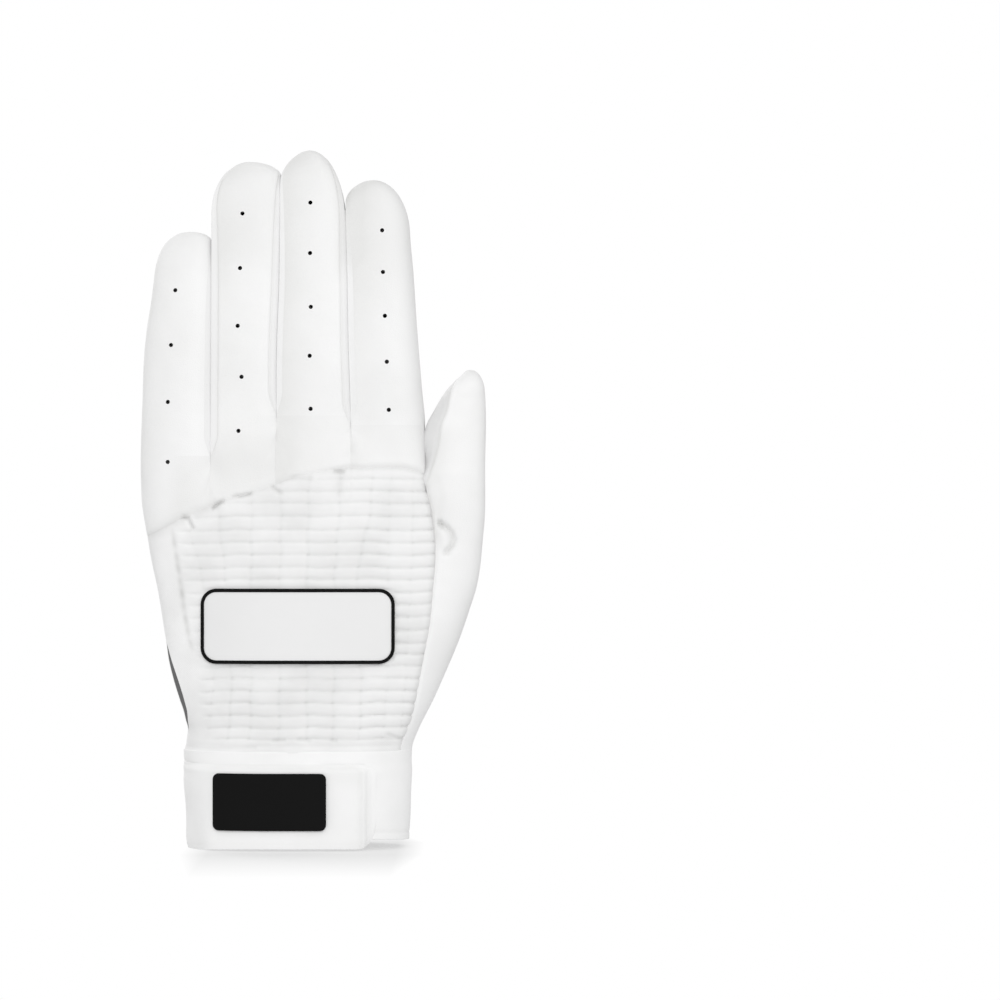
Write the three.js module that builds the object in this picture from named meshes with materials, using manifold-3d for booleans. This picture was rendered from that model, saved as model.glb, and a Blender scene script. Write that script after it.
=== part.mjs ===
// Batting glove for the left hand. It stands upright: fingertips up (+Z), thumb to +X,
// back of the hand towards -Y and palm towards +Y. The origin is the middle of the wrist opening.
// Each leather is a skin with a true outer face and an inner face one wall further in,
// cut at the fold lines of the fingers, and the hand is hollow.
import * as THREE from "three";
import { mergeVertices } from "three/addons/utils/BufferGeometryUtils.js";
import Module from "manifold-3d";

const wasm = await Module();
wasm.setup();

// Walls and clearances, in mm
const leatherWall = 1.2;
const stripWall = 1.1; // side strips between the fingers
const shirrWall = 1.3;
const cuffWall = 1.8;
const strapWall = 1.4;
const tapeWall = 0.7; // hook pad and loop pad
const plateWall = 1.4; // badge plate
const borderWall = 2; // raised edge of the badge
const patchWall = 1.1; // patch on the strap
const seamGap = 0.3; // between two pieces that meet
const sameCorner = 0.0005; // corners closer than this are one corner

// Heights above the lower edge of the strap
const cuffBottom = 3;
const cuffTop = 33;
const thumbWeb = 118;
const littleRingWeb = 126;
const middleIndexWeb = 136.5;
const ringMiddleWeb = 140;
const foldRise = 10; // a finger's base fold above the higher of its webs
const thumbFoldRise = 4;
const slitTop = 67; // top of the wrist slit
const littleKnuckle = 158;
const ringKnuckle = 174;
const middleKnuckle = 176;
const indexKnuckle = 170;
const littleTip = 201;
const ringTip = 224;
const middleTip = 227.8;
const indexTip = 218;
const thumbTip = 156;

// Places across the glove
const littleRingGroove = -28.5;
const ringMiddleGroove = -7.15;
const middleIndexGroove = 15.4;
const littleTipPlace = -37.2;
const ringTipPlace = -17.6;
const middleTipPlace = 4;
const indexTipPlace = 25.2;
const thumbTipPlace = 55.4;
const fingerGap = 0.6; // between two fingers

// Edges of the glove seen from the back: height as a share of gloveLength, place as a share of edgeReach
const gloveLength = 228;
const edgeReach = 51;
const littleEdgeShares = [
  [0, -0.72],
  [0.147, -0.72],
  [0.182, -0.712],
  [0.218, -0.753],
  [0.257, -0.8],
  [0.304, -0.839],
  [0.371, -0.894],
  [0.414, -0.935],
  [0.456, -0.966],
  [0.5, -0.996],
  [0.57, -1],
  [0.64, -0.99],
  [0.7, -0.981],
  [0.742, -0.963],
  [0.784, -0.935],
  [0.84, -0.91],
  [1, -0.89],
];
const indexEdgeShares = [
  [0.5, 0.812],
  [0.613, 0.808],
  [0.656, 0.79],
  [0.741, 0.759],
  [0.826, 0.733],
  [0.88, 0.712],
  [1, 0.7],
];
const thumbGrooveShares = [
  [0, 0.66],
  [0.143, 0.663],
  [0.195, 0.725],
  [0.243, 0.757],
  [0.29, 0.79],
  [0.338, 0.831],
  [0.378, 0.857],
  [0.41, 0.871],
  [0.447, 0.869],
  [0.486, 0.845],
  [0.517, 0.822],
  [0.6, 0.822],
  [0.62, 0.84],
  [0.645, 0.92],
  [0.662, 0.988],
  [0.7, 1.02],
];
const thumbEdgeShares = [
  [0, 0.723],
  [0.143, 0.725],
  [0.171, 0.765],
  [0.214, 0.861],
  [0.257, 0.947],
  [0.304, 1.033],
  [0.346, 1.096],
  [0.375, 1.137],
  [0.404, 1.161],
  [0.442, 1.178],
  [0.48, 1.192],
  [0.552, 1.193],
  [0.613, 1.198],
  [0.656, 1.19],
  [0.7, 1.17],
];

// Depths from the middle plane of the hand: heights as shares of gloveLength
const handDepth = 13.6;
const backDepthShares = [
  [0, 1.2],
  [0.15, 1.2],
  [0.26, 1.1],
  [0.44, 1],
  [0.56, 0.93],
  [0.7, 0.86],
];
const palmDepthShares = [
  [0, 1.2],
  [0.15, 1.2],
  [0.26, 1.22],
  [0.4, 1.14],
  [0.56, 0.95],
  [0.7, 0.86],
];
const fingerDepth = 10; // half the depth of a finger at its root
const fingerTipDepth = 8.2; // and where its tip starts to close
const thumbDepth = 10.6;
const curl = 5; // how far the fingertips lean towards the palm
const stripHalf = 3.6; // half the width of a side strip
const thumbStripHalf = 4.4;
const domeHeight = 12.5; // the closing stretch of a fingertip
const thumbDomeHeight = 9;
const valleyReach = 30; // how far below its web a valley starts
const thumbValleyReach = 62;
const domePowerShare = 2.15;
const stripEndShare = 0.17; // how far below the tip a side strip ends, of the closing stretch
const crownPowerShare = 0.78;
const handPowerShares = [2.3, 0.56];

// Shirred panel and badge
const pleatPitch = 4.06;
const pleatRise = 1.1;
const slitStep = 2.9; // the panel's edge beside the slit, in from the side of the hand
const shirrTopShares = [
  [-0.99, 0.448],
  [-0.943, 0.45],
  [-0.725, 0.473],
  [-0.524, 0.492],
  [-0.32, 0.506],
  [-0.147, 0.519],
  [0.014, 0.532],
  [0.255, 0.542],
  [0.422, 0.544],
  [0.682, 0.543],
  [0.83, 0.535],
];
const badgeWidth = 63.7;
const badgeHeight = 25.4;
const badgeCentreHeight = 72.8;
const badgeCorner = 5.5;
const badgeBorder = 1.5;

// Strap and cuff
const strapBottom = 0;
const strapTop = 29;
const strapEnd = 21; // place of its free end
const strapCorner = 3.5;
const strapRootLength = 28; // its sewn end on the palm half of the cuff
const tapeInset = 2.5; // hook and loop pads inside the strap's edges
const hookLength = 30;
const loopLength = 40;
const tapeCorner = 1.5;
const patchWidth = 37.4;
const patchHeight = 19.6;
const patchCentre = -9.6;
const patchCentreHeight = 15.6;
const patchCorner = 2;
const slitStartShare = 0.04; // where each half of the cuff starts, on the little-finger side
const gussetReach = 6; // width of the slit gusset under the edge of the shirred panel

const leather = [0xf2f2f1, 0.55];
const stripLeather = [0xebebea, 0.6];
const shirrCloth = [0xeaeaea, 0.8];
const cuffCloth = [0xf0f0f0, 0.7];
const dark = [0x1a1a1b, 0.55];
const gussetCloth = [0x4a4a4c, 0.85];
const plateGrey = [0xe9e9ea, 0.5];
const tapeWhite = [0xf4f4f4, 0.95];

const mix = (a, b, share) => a + (b - a) * share;
const clamp = (share) => Math.min(1, Math.max(0, share));
const ease = (share) => clamp(share) ** 2 * (3 - 2 * clamp(share));
const steps = (from, to, count) => Array.from({ length: count + 1 }, (_, i) => mix(from, to, i / count));

// A smooth line through a table of [along, across] rows
function through(rows, along) {
  let i = 0;
  while (i < rows.length - 2 && rows[i + 1][0] < along) i += 1;
  const slope = (a, b) => (rows[b][1] - rows[a][1]) / (rows[b][0] - rows[a][0]);
  const [x0, y0] = rows[i];
  const [x1, y1] = rows[i + 1];
  const wide = x1 - x0;
  const t = clamp((along - x0) / wide);
  const m0 = slope(Math.max(i - 1, 0), i + 1) * wide;
  const m1 = slope(i, Math.min(i + 2, rows.length - 1)) * wide;
  const rise = y1 - y0;
  return y0 + t * (m0 + t * (3 * rise - 2 * m0 - m1 + t * (m0 + m1 - 2 * rise)));
}

const edgeAt = (shares, z) => edgeReach * through(shares, z / gloveLength);
const littleEdge = (z) => edgeAt(littleEdgeShares, z);
const thumbEdge = (z) => edgeAt(thumbEdgeShares, z);
const thumbGroove = (z) => edgeAt(thumbGrooveShares, z);

// The five stalls, from the little finger to the thumb. A side without a web is a plain side seam.
function stall(name, left, right, webs, sides, heights, tipPlace, extra = {}) {
  const [leftWeb, rightWeb] = webs;
  const [fold, knuckle, tip] = heights;
  const depths = { root: fingerDepth, end: fingerTipDepth, dome: domeHeight, valley: valleyReach };
  return { name, left, right, leftWeb, rightWeb, sides, fold, knuckle, tip, tipPlace, ...depths, ...extra };
}

const stalls = [
  stall(
    "little",
    littleEdge,
    () => littleRingGroove,
    [littleRingWeb, littleRingWeb],
    [0, stripHalf],
    [littleRingWeb + foldRise, littleKnuckle, littleTip],
    littleTipPlace,
  ),
  stall(
    "ring",
    () => littleRingGroove,
    () => ringMiddleGroove,
    [littleRingWeb, ringMiddleWeb],
    [stripHalf, stripHalf],
    [ringMiddleWeb + foldRise, ringKnuckle, ringTip],
    ringTipPlace,
  ),
  stall(
    "middle",
    () => ringMiddleGroove,
    () => middleIndexGroove,
    [ringMiddleWeb, middleIndexWeb],
    [stripHalf, stripHalf],
    [ringMiddleWeb + foldRise, middleKnuckle, middleTip],
    middleTipPlace,
  ),
  stall(
    "index",
    () => middleIndexGroove,
    (z) => (z > thumbWeb ? edgeAt(indexEdgeShares, z) : thumbGroove(z)),
    [middleIndexWeb, thumbWeb],
    [stripHalf, 0],
    [middleIndexWeb + foldRise, indexKnuckle, indexTip],
    indexTipPlace,
  ),
  stall(
    "thumb",
    thumbGroove,
    thumbEdge,
    [thumbWeb, thumbWeb],
    [thumbStripHalf, 0],
    [thumbWeb + thumbFoldRise, thumbTip, thumbTip],
    thumbTipPlace,
    { root: thumbDepth, dome: thumbDomeHeight, valley: thumbValleyReach },
  ),
];
const [little, ring, middle, index, thumb] = stalls;

// How far a stall's section has closed at a height: 1 below the tip, 0 at its top
function closing(finger, z) {
  const share = clamp((z - finger.tip + finger.dome) / finger.dome);
  return Math.max(0, 1 - share ** domePowerShare) ** (1 / domePowerShare);
}

// Left or right edge of a stall, with the finger gap above its web
function edge(finger, z, onRight, inset) {
  const web = onRight ? finger.rightWeb : finger.leftWeb;
  const outerSide = finger.sides[onRight ? 1 : 0] === 0 && !(finger === index && z <= thumbWeb);
  const split = outerSide || z > web;
  const inwards = onRight ? -1 : 1;
  const room = split ? inset + (outerSide ? 0 : fingerGap / 2) : 0;
  const place = (onRight ? finger.right(z) : finger.left(z)) + inwards * room;
  return mix(finger.tipPlace, place, closing(finger, z));
}

// Half the width of the side strip, or of the space that the web leaves below it
function sideHalf(finger, z, onRight, inset) {
  const web = onRight ? finger.rightWeb : finger.leftWeb;
  const strip = finger.sides[onRight ? 1 : 0];
  if (finger === index && onRight) {
    const fade = 1 - ease((z - thumbWeb) / (finger.fold - thumbWeb));
    return seamGap / 2 + thumbStripHalf * fade + (z <= web ? leatherWall - inset : 0);
  }
  if (!strip) return seamGap / 2;
  if (z <= web) return strip + seamGap / 2 + leatherWall - inset;
  return seamGap / 2 + stripWidthAt(finger, strip, z);
}

const stripTop = (finger) => finger.tip - finger.dome * stripEndShare;

// A strip keeps its width up the finger and runs out just under the tip
function stripWidthAt(finger, strip, z) {
  const share = clamp((z - finger.fold) / (stripTop(finger) - finger.fold));
  return strip * Math.max(0, 1 - share ** 4);
}

const leanFrom = ringMiddleWeb + foldRise; // the fingers start to lean above their roots
const leanAt = (z) => curl * clamp((z - leanFrom) / (middleTip - leanFrom)) ** 2;
const handRight = (z) => thumbEdge(Math.min(z, thumbWeb));

// Depth of the undivided hand at a place
function handDepthAt(x, z, inset, depthShares) {
  const left = littleEdge(z);
  const right = handRight(z);
  const reach = (right - left) / 2 - inset;
  const across = Math.min(1, Math.abs(x - (left + right) / 2) / reach);
  const [power, root] = handPowerShares;
  const deep = handDepth * through(depthShares, z / gloveLength) - inset - seamGap / 2;
  return seamGap / 2 + deep * (1 - across ** power) ** root;
}

// Depth of the skin at a place: the hand low down, the separate stalls above the webs
function skinDepth(finger, x, z, inset, depthShares) {
  const left = edge(finger, z, false, inset);
  const right = edge(finger, z, true, inset);
  const across = right > left ? clamp((x - left) / (right - left)) : 0.5;
  const turn = Math.acos(1 - 2 * across);
  const share = turn / Math.PI;
  const side = mix(sideHalf(finger, z, false, inset), sideHalf(finger, z, true, inset), share);
  const taper = clamp((z - finger.fold) / (finger.tip - finger.dome - finger.fold));
  const deep = (mix(finger.root, finger.end, taper) - inset) * closing(finger, z);
  const crown = Math.sin(turn) ** crownPowerShare;
  const ofStall = side + Math.max(0, deep - side) * crown;
  const valley = (web) => ease((z - web + finger.valley) / finger.valley);
  const apart = mix(valley(finger.leftWeb), valley(finger.rightWeb), share);
  return mix(handDepthAt(x, z, inset, depthShares), ofStall, apart);
}

// A point of the skin, at a share of the way round from the left edge to the right
function skinPoint(finger, share, z, inset, facing) {
  const left = edge(finger, z, false, inset);
  const right = edge(finger, z, true, inset);
  const x = mix(left, right, (1 - Math.cos(Math.PI * share)) / 2);
  const depthShares = facing < 0 ? backDepthShares : palmDepthShares;
  const depth = skinDepth(finger, x, z, inset, depthShares);
  return new THREE.Vector3(x, leanAt(z) + facing * depth, z - inset * (1 - closing(finger, z)));
}

const skinCorner = (finger, share, z, facing, wall = leatherWall) => ({
  outer: skinPoint(finger, share, z, 0, facing),
  inner: skinPoint(finger, share, z, wall, facing),
});

// A closed body from cells of corners, each with an outer and an inner point
function closedSheet(cells) {
  const found = new Map();
  const corners = [];
  const idOf = (corner) => {
    const key = corner.outer.toArray().map((v) => Math.round(v / sameCorner)).join();
    if (!found.has(key)) found.set(key, corners.push(corner) - 1);
    return found.get(key);
  };
  const faces = [];
  for (const cell of cells) {
    const ring = cell.map(idOf).filter((id, i, all) => id !== all[(i + 1) % all.length]);
    for (let i = 2; i < ring.length; i += 1) faces.push([ring[0], ring[i - 1], ring[i]]);
  }
  const edges = new Map();
  for (const face of faces) {
    face.forEach((a, i) => edges.set(a + "," + face[(i + 1) % 3], [a, face[(i + 1) % 3]]));
  }
  const count = corners.length;
  const all = faces.flatMap(([a, b, c]) => [a, b, c, c + count, b + count, a + count]);
  for (const [a, b] of edges.values()) {
    if (!edges.has(b + "," + a)) all.push(b, a, a + count, b, a + count, b + count);
  }
  const points = [...corners.map((c) => c.outer), ...corners.map((c) => c.inner)];
  return outwards(points, all);
}

// A geometry whose faces point out, whichever way round it was listed
function outwards(points, order) {
  let volume = 0;
  for (let i = 0; i < order.length; i += 3) {
    const [a, b, c] = [points[order[i]], points[order[i + 1]], points[order[i + 2]]];
    volume += a.dot(new THREE.Vector3().crossVectors(b, c));
  }
  const sorted = volume < 0 ? order.toReversed() : order;
  const geometry = new THREE.BufferGeometry().setFromPoints(points);
  geometry.setIndex(sorted);
  geometry.computeVertexNormals();
  return geometry;
}

// The cells between neighbouring rows and columns of a grid of corners
function gridCells(rows) {
  const cells = [];
  for (let j = 1; j < rows.length; j += 1) {
    for (let i = 1; i < rows[j].length; i += 1) {
      cells.push([rows[j - 1][i - 1], rows[j - 1][i], rows[j][i], rows[j][i - 1]]);
    }
  }
  return cells;
}

function solidOf(geometry) {
  const bare = geometry.clone();
  bare.deleteAttribute("normal");
  bare.deleteAttribute("uv");
  const merged = mergeVertices(bare, sameCorner);
  const vertProperties = merged.attributes.position.array;
  const triVerts = new Uint32Array(merged.index.array);
  return new wasm.Manifold(new wasm.Mesh({ numProp: 3, vertProperties, triVerts }));
}

function geometryOf(solid) {
  const { vertProperties, triVerts } = solid.getMesh();
  const geometry = new THREE.BufferGeometry();
  geometry.setAttribute("position", new THREE.BufferAttribute(vertProperties, 3));
  geometry.setIndex(new THREE.BufferAttribute(triVerts, 1));
  geometry.computeVertexNormals();
  return geometry;
}

const glove = new THREE.Group();

function piece(name, geometry, [color, roughness], group) {
  const material = new THREE.MeshStandardMaterial({ color, roughness, metalness: 0 });
  const mesh = new THREE.Mesh(geometry, material);
  mesh.name = name;
  group.add(mesh);
}

const roundShares = steps(0, 1, 8);

// Heights of the rows of a stall's upper stretch, closer together where it closes
function heightsTo(finger, from) {
  const start = finger.tip - finger.dome;
  const straight = steps(from, start, 4);
  const angles = steps(0, Math.PI / 2, 5).slice(1);
  return [...straight, ...angles.map((a) => start + finger.dome * Math.sin(a) ** (2 / domePowerShare))];
}

function stallSkin(finger, heights, facing) {
  const rows = heights.map((z) => roundShares.map((share) => skinCorner(finger, share, z, facing)));
  return closedSheet(gridCells(rows));
}

// The side strip of a stall, on its left or right side
function sideStrip(finger, heights, onRight) {
  const strip = finger.sides[onRight ? 1 : 0];
  const rows = heights.map((z) => {
    const half = Math.max(0, stripWidthAt(finger, strip, z) - seamGap / 2);
    return [-half, half].map((y) => ({
      outer: new THREE.Vector3(edge(finger, z, onRight, 0), leanAt(z) + y, z),
      inner: new THREE.Vector3(edge(finger, z, onRight, stripWall), leanAt(z) + y, z),
    }));
  });
  return closedSheet(gridCells(rows));
}

// One stretch of a finger: back, palm side and the strips on the sides that face a neighbour
function fingerStretch(finger, part, heights, group) {
  const stripHeights = heights.filter((z) => z < stripTop(finger));
  if (part === "upper") stripHeights.push(stripTop(finger));
  piece(finger.name + "_" + part + "_back", stallSkin(finger, heights, -1), leather, group);
  piece(finger.name + "_" + part + "_front", stallSkin(finger, heights, 1), leather, group);
  finger.sides.forEach((strip, side) => {
    if (!strip) return;
    const name = finger.name + "_" + part + "_strip" + (side ? "_thumbward" : "_littleward");
    piece(name, sideStrip(finger, stripHeights, side === 1), stripLeather, group);
  });
}

function fingerPieces(finger) {
  const lower = new THREE.Group();
  const upper = new THREE.Group();
  fingerStretch(finger, "lower", steps(finger.fold + seamGap, finger.knuckle - seamGap / 2, 4), lower);
  fingerStretch(finger, "upper", heightsTo(finger, finger.knuckle + seamGap / 2), upper);
  lower.add(upper);
  glove.add(lower);
}

function thumbPieces(hand) {
  const tip = new THREE.Group();
  const heights = heightsTo(thumb, thumb.fold + seamGap);
  piece("thumb_back", stallSkin(thumb, heights, -1), leather, tip);
  piece("thumb_front", stallSkin(thumb, heights, 1), leather, tip);
  const stripHeights = [...heights.filter((z) => z < stripTop(thumb)), stripTop(thumb)];
  piece("thumb_gusset", sideStrip(thumb, stripHeights, false), stripLeather, tip);
  glove.add(tip);
  const below = steps(cuffTop + seamGap, thumb.fold, 12);
  const base = (facing) => {
    const rows = below.map((z) => roundShares.map((share) => thumbBaseCorner(share, z, facing)));
    return closedSheet(gridCells(rows));
  };
  piece("thumb_base_back", base(-1), leather, hand);
  piece("thumb_base_palm", base(1), leather, hand);
}

// The thumb base keeps a seam gap to the hand below its web
function thumbBaseCorner(share, z, facing) {
  const corner = skinCorner(thumb, share, z, facing);
  const open = z > thumbWeb ? 0 : (seamGap / 2) * (1 - share);
  corner.outer.x += open;
  corner.inner.x += open;
  return corner;
}

// Height at which a column of the skin meets a lower edge, found in a few passes
function edgeHeight(finger, share, lowest, facing) {
  let z = littleRingWeb;
  for (let pass = 0; pass < 4; pass += 1) z = lowest(skinPoint(finger, share, z, 0, facing).x);
  return z;
}

// Rows from a lower edge up to the base fold of each finger, with the slits between the fingers
function fingerRootCells(lowest, facing) {
  const fingers = [little, ring, middle, index];
  const common = [littleRingWeb, middleIndexWeb, ringMiddleWeb, ...fingers.map((f) => f.fold)];
  const upperRows = [...new Set(common)].sort((a, b) => a - b);
  const lowRows = facing < 0 ? steps(0, 1, 4) : steps(0, 1, 12);
  return fingers.flatMap((finger) => {
    const columns = roundShares.map((share) => {
      const start = edgeHeight(finger, share, lowest, facing);
      const low = lowRows.slice(0, -1).map((up) => mix(start, littleRingWeb, up));
      const heights = [...low, ...upperRows.filter((z) => z <= finger.fold)];
      return heights.map((z) => rootCorner(finger, share, z, facing));
    });
    return gridCells(columns);
  });
}

// The index finger's root keeps a seam gap to the thumb base
function rootCorner(finger, share, z, facing) {
  const corner = skinCorner(finger, share, z, facing);
  const beside = finger === index && z <= thumbWeb ? (seamGap / 2) * share : 0;
  corner.outer.x -= beside;
  corner.inner.x -= beside;
  return corner;
}

const shirrTop = (x) => gloveLength * through(shirrTopShares, x / edgeReach);

function handSkins(hand) {
  const yokeEdge = (x) => shirrTop(x) + 2 * seamGap;
  piece("knuckle_yoke", closedSheet(fingerRootCells(yokeEdge, -1)), leather, hand);
  piece("palm", closedSheet(fingerRootCells(() => cuffTop + seamGap, 1)), leather, hand);
}

// A web gusset: a U of strip leather whose legs are the roots of two side strips
function webGusset(name, finger, next, groove, web, half, hand) {
  const legs = [finger.fold, next.fold];
  const near = fingerGap / 2;
  const far = near + stripWall;
  const lowest = web - stripWall;
  const outline = new THREE.Shape([
    new THREE.Vector2(groove - far, lowest),
    new THREE.Vector2(groove + far, lowest),
    new THREE.Vector2(groove + far, legs[1]),
    new THREE.Vector2(groove + near, legs[1]),
    new THREE.Vector2(groove + near, web),
    new THREE.Vector2(groove - near, web),
    new THREE.Vector2(groove - near, legs[0]),
    new THREE.Vector2(groove - far, legs[0]),
  ]);
  const deep = 2 * half - seamGap;
  const geometry = new THREE.ExtrudeGeometry(outline, { depth: deep, bevelEnabled: false });
  geometry.rotateX(Math.PI / 2);
  geometry.translate(0, leanAt(web) + deep / 2, 0);
  piece(name, geometry, stripLeather, hand);
}

function thumbWebGusset(hand) {
  const heights = steps(thumbWeb + seamGap, thumb.fold, 2);
  piece("web_thumb", sideStrip(thumb, heights, false), stripLeather, hand);
}

function webs(hand) {
  webGusset("web_little_ring", little, ring, littleRingGroove, littleRingWeb, stripHalf, hand);
  webGusset("web_ring_middle", ring, middle, ringMiddleGroove, ringMiddleWeb, stripHalf, hand);
  webGusset("web_middle_index", middle, index, middleIndexGroove, middleIndexWeb, stripHalf, hand);
  thumbWebGusset(hand);
}

// A point on the back of the hand, raised by a lift
function onBack(x, z, lift) {
  const finger = [little, ring, middle, index].find((f) => x <= f.right(z)) ?? index;
  return new THREE.Vector3(x, leanAt(z) - skinDepth(finger, x, z, 0, backDepthShares) - lift, z);
}

// The shirred panel's left edge follows the side of the hand and steps in beside the slit
function shirrLeft(z) {
  const step = slitStep * ease((slitTop - z) / (slitTop - cuffTop - pleatPitch));
  return littleEdge(z) + seamGap + step;
}

// The shirred panel: pleats across, cut to the edge of the yoke
function shirredBack(hand) {
  const bottom = cuffTop + seamGap;
  const count = Math.ceil((shirrTop(edgeReach / 2) - bottom) / (pleatPitch / 2)) + 1;
  const rows = Array.from({ length: count + 1 }, (_, j) => {
    const z = bottom + (j * pleatPitch) / 2;
    const puff = j % 2 ? pleatRise : 0;
    const right = thumbGroove(z) - seamGap / 2;
    return steps(0, 1, 14).map((share) => {
      const x = mix(shirrLeft(z), right, (1 - Math.cos(Math.PI * share)) / 2);
      return { outer: onBack(x, z, puff), inner: onBack(x, z, puff - shirrWall) };
    });
  });
  const far = edgeReach * 2;
  const across = steps(-far, far, 40).map((x) => new THREE.Vector2(x, shirrTop(x)));
  const above = [new THREE.Vector2(far, gloveLength), new THREE.Vector2(-far, gloveLength)];
  const cutter = new THREE.Shape([...across, ...above]);
  const cut = new THREE.ExtrudeGeometry(cutter, { depth: 2 * far, bevelEnabled: false });
  cut.rotateX(Math.PI / 2);
  cut.translate(0, far, 0);
  const kept = solidOf(closedSheet(gridCells(rows))).subtract(solidOf(cut));
  piece("shirred_back", geometryOf(kept), shirrCloth, hand);
}

// The outline of a plate with round corners, about its centre, pulled in by an inset
function roundPlate(width, height, corner, inset = 0) {
  const reach = [width / 2 - corner, height / 2 - corner];
  const turns = steps(0, Math.PI / 2, 3);
  const quarters = [0, 1, 2, 3].map((q) => (q * Math.PI) / 2);
  return quarters.flatMap((quarter) => {
    const side = [Math.sign(Math.cos(quarter + Math.PI / 4)), Math.sign(Math.sin(quarter + Math.PI / 4))];
    return turns.map((turn) => [
      side[0] * reach[0] + (corner - inset) * Math.cos(quarter + turn),
      side[1] * reach[1] + (corner - inset) * Math.sin(quarter + turn),
    ]);
  });
}

// Cells of a plate with round corners, in columns from left to right, laid on a surface
function plateCells(width, height, corner, lay) {
  const reach = width / 2;
  const turns = steps(0, Math.PI / 2, 3).map((turn) => reach - corner + corner * Math.sin(turn));
  const flat = steps(corner - reach, reach - corner, 10).slice(1, -1);
  const places = [...turns.toReversed().map((x) => -x), ...flat, ...turns];
  const columns = places.map((x) => {
    const past = Math.max(0, Math.abs(x) - reach + corner);
    const half = height / 2 - corner + Math.sqrt(Math.max(0, corner ** 2 - past ** 2));
    return steps(-half, half, 2).map((z) => lay(x, z));
  });
  return gridCells(columns);
}

function ringCells(outerLine, innerLine, lay) {
  return outerLine.map((point, i) => {
    const next = (i + 1) % outerLine.length;
    return [lay(...point), lay(...outerLine[next]), lay(...innerLine[next]), lay(...innerLine[i])];
  });
}

function badge(hand) {
  const seat = pleatRise + seamGap;
  const layOn = (wall) => (x, z) => ({
    outer: onBack(x, badgeCentreHeight + z, seat + wall),
    inner: onBack(x, badgeCentreHeight + z, seat),
  });
  const inner = badgeBorder + seamGap;
  const [wide, high] = [badgeWidth - 2 * inner, badgeHeight - 2 * inner];
  const plate = plateCells(wide, high, badgeCorner - inner, layOn(plateWall));
  piece("badge_plate", closedSheet(plate), plateGrey, hand);
  const outside = longSides(roundPlate(badgeWidth, badgeHeight, badgeCorner));
  const inside = longSides(roundPlate(badgeWidth, badgeHeight, badgeCorner, badgeBorder));
  piece("badge_border", closedSheet(ringCells(outside, inside, layOn(borderWall))), dark, hand);
}

// Adds points along the long straight sides, so that a ring bends with the hand
function longSides(line) {
  return line.flatMap((point, i) => {
    const next = line[(i + 1) % line.length];
    const count = Math.max(1, Math.round(Math.abs(next[0] - point[0]) / badgeCorner));
    const shares = steps(0, 1, count).slice(0, -1);
    return shares.map((share) => [mix(point[0], next[0], share), mix(point[1], next[1], share)]);
  });
}

const cuffFace = seamGap; // lift of the cuff's outer face

// Points round the wrist: a share of the way from the little-finger side to the thumb side, with a lift
const wristLeft = littleEdge(cuffTop);
const wristRight = thumbEdge(cuffTop);

function wristPoint(x, z, lift, facing) {
  const shares = facing < 0 ? backDepthShares : palmDepthShares;
  return new THREE.Vector3(x, facing * handDepthAt(x, cuffTop, -lift, shares), z);
}

function wristPlace(share, lift) {
  return mix(wristLeft - lift, wristRight + lift, (1 - Math.cos(Math.PI * share)) / 2);
}

// The share at which the wrist's outline reaches a place
const wristShare = (x) => Math.acos(1 - (2 * (x - wristLeft)) / (wristRight - wristLeft)) / Math.PI;

function cuffHalf(facing) {
  const shares = steps(slitStartShare, 1, 18);
  const heights = steps(cuffBottom, cuffTop, 2);
  const inside = cuffFace - cuffWall;
  const rows = heights.map((z) =>
    shares.map((share) => ({
      outer: wristPoint(wristPlace(share, cuffFace), z, cuffFace, facing),
      inner: wristPoint(wristPlace(share, inside), z, inside, facing),
    })),
  );
  return closedSheet(gridCells(rows));
}

const loopFace = cuffFace + seamGap + tapeWall;
const hookFace = loopFace + seamGap + tapeWall;

// The strap lies on the cuff at its root and climbs over the hook and loop pads
function strapSeat(share) {
  return mix(cuffFace, hookFace, ease(share / wristShare(strapEnd - hookLength))) + seamGap;
}

function strapRows(fromShare, toShare, count, seat, facing, bottom, top) {
  const shares = steps(fromShare, toShare, count);
  return [bottom, top].map((z) =>
    shares.map((share) => ({
      outer: wristPoint(wristPlace(share, seat(share) + strapWall), z, seat(share) + strapWall, facing),
      inner: wristPoint(wristPlace(share, seat(share)), z, seat(share), facing),
    })),
  );
}

// The strap's free end has round corners: the last columns shorten
function roundEnd(rows, shares) {
  const [low, high] = rows;
  return low.map((corner, i) => {
    const past = clamp(shares[i]);
    const cut = strapCorner * (1 - Math.sqrt(1 - past ** 2));
    const shifted = (from, by) => ({
      outer: from.outer.clone().add(new THREE.Vector3(0, 0, by)),
      inner: from.inner.clone().add(new THREE.Vector3(0, 0, by)),
    });
    return [shifted(corner, cut), shifted(high[i], -cut)];
  });
}

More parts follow.
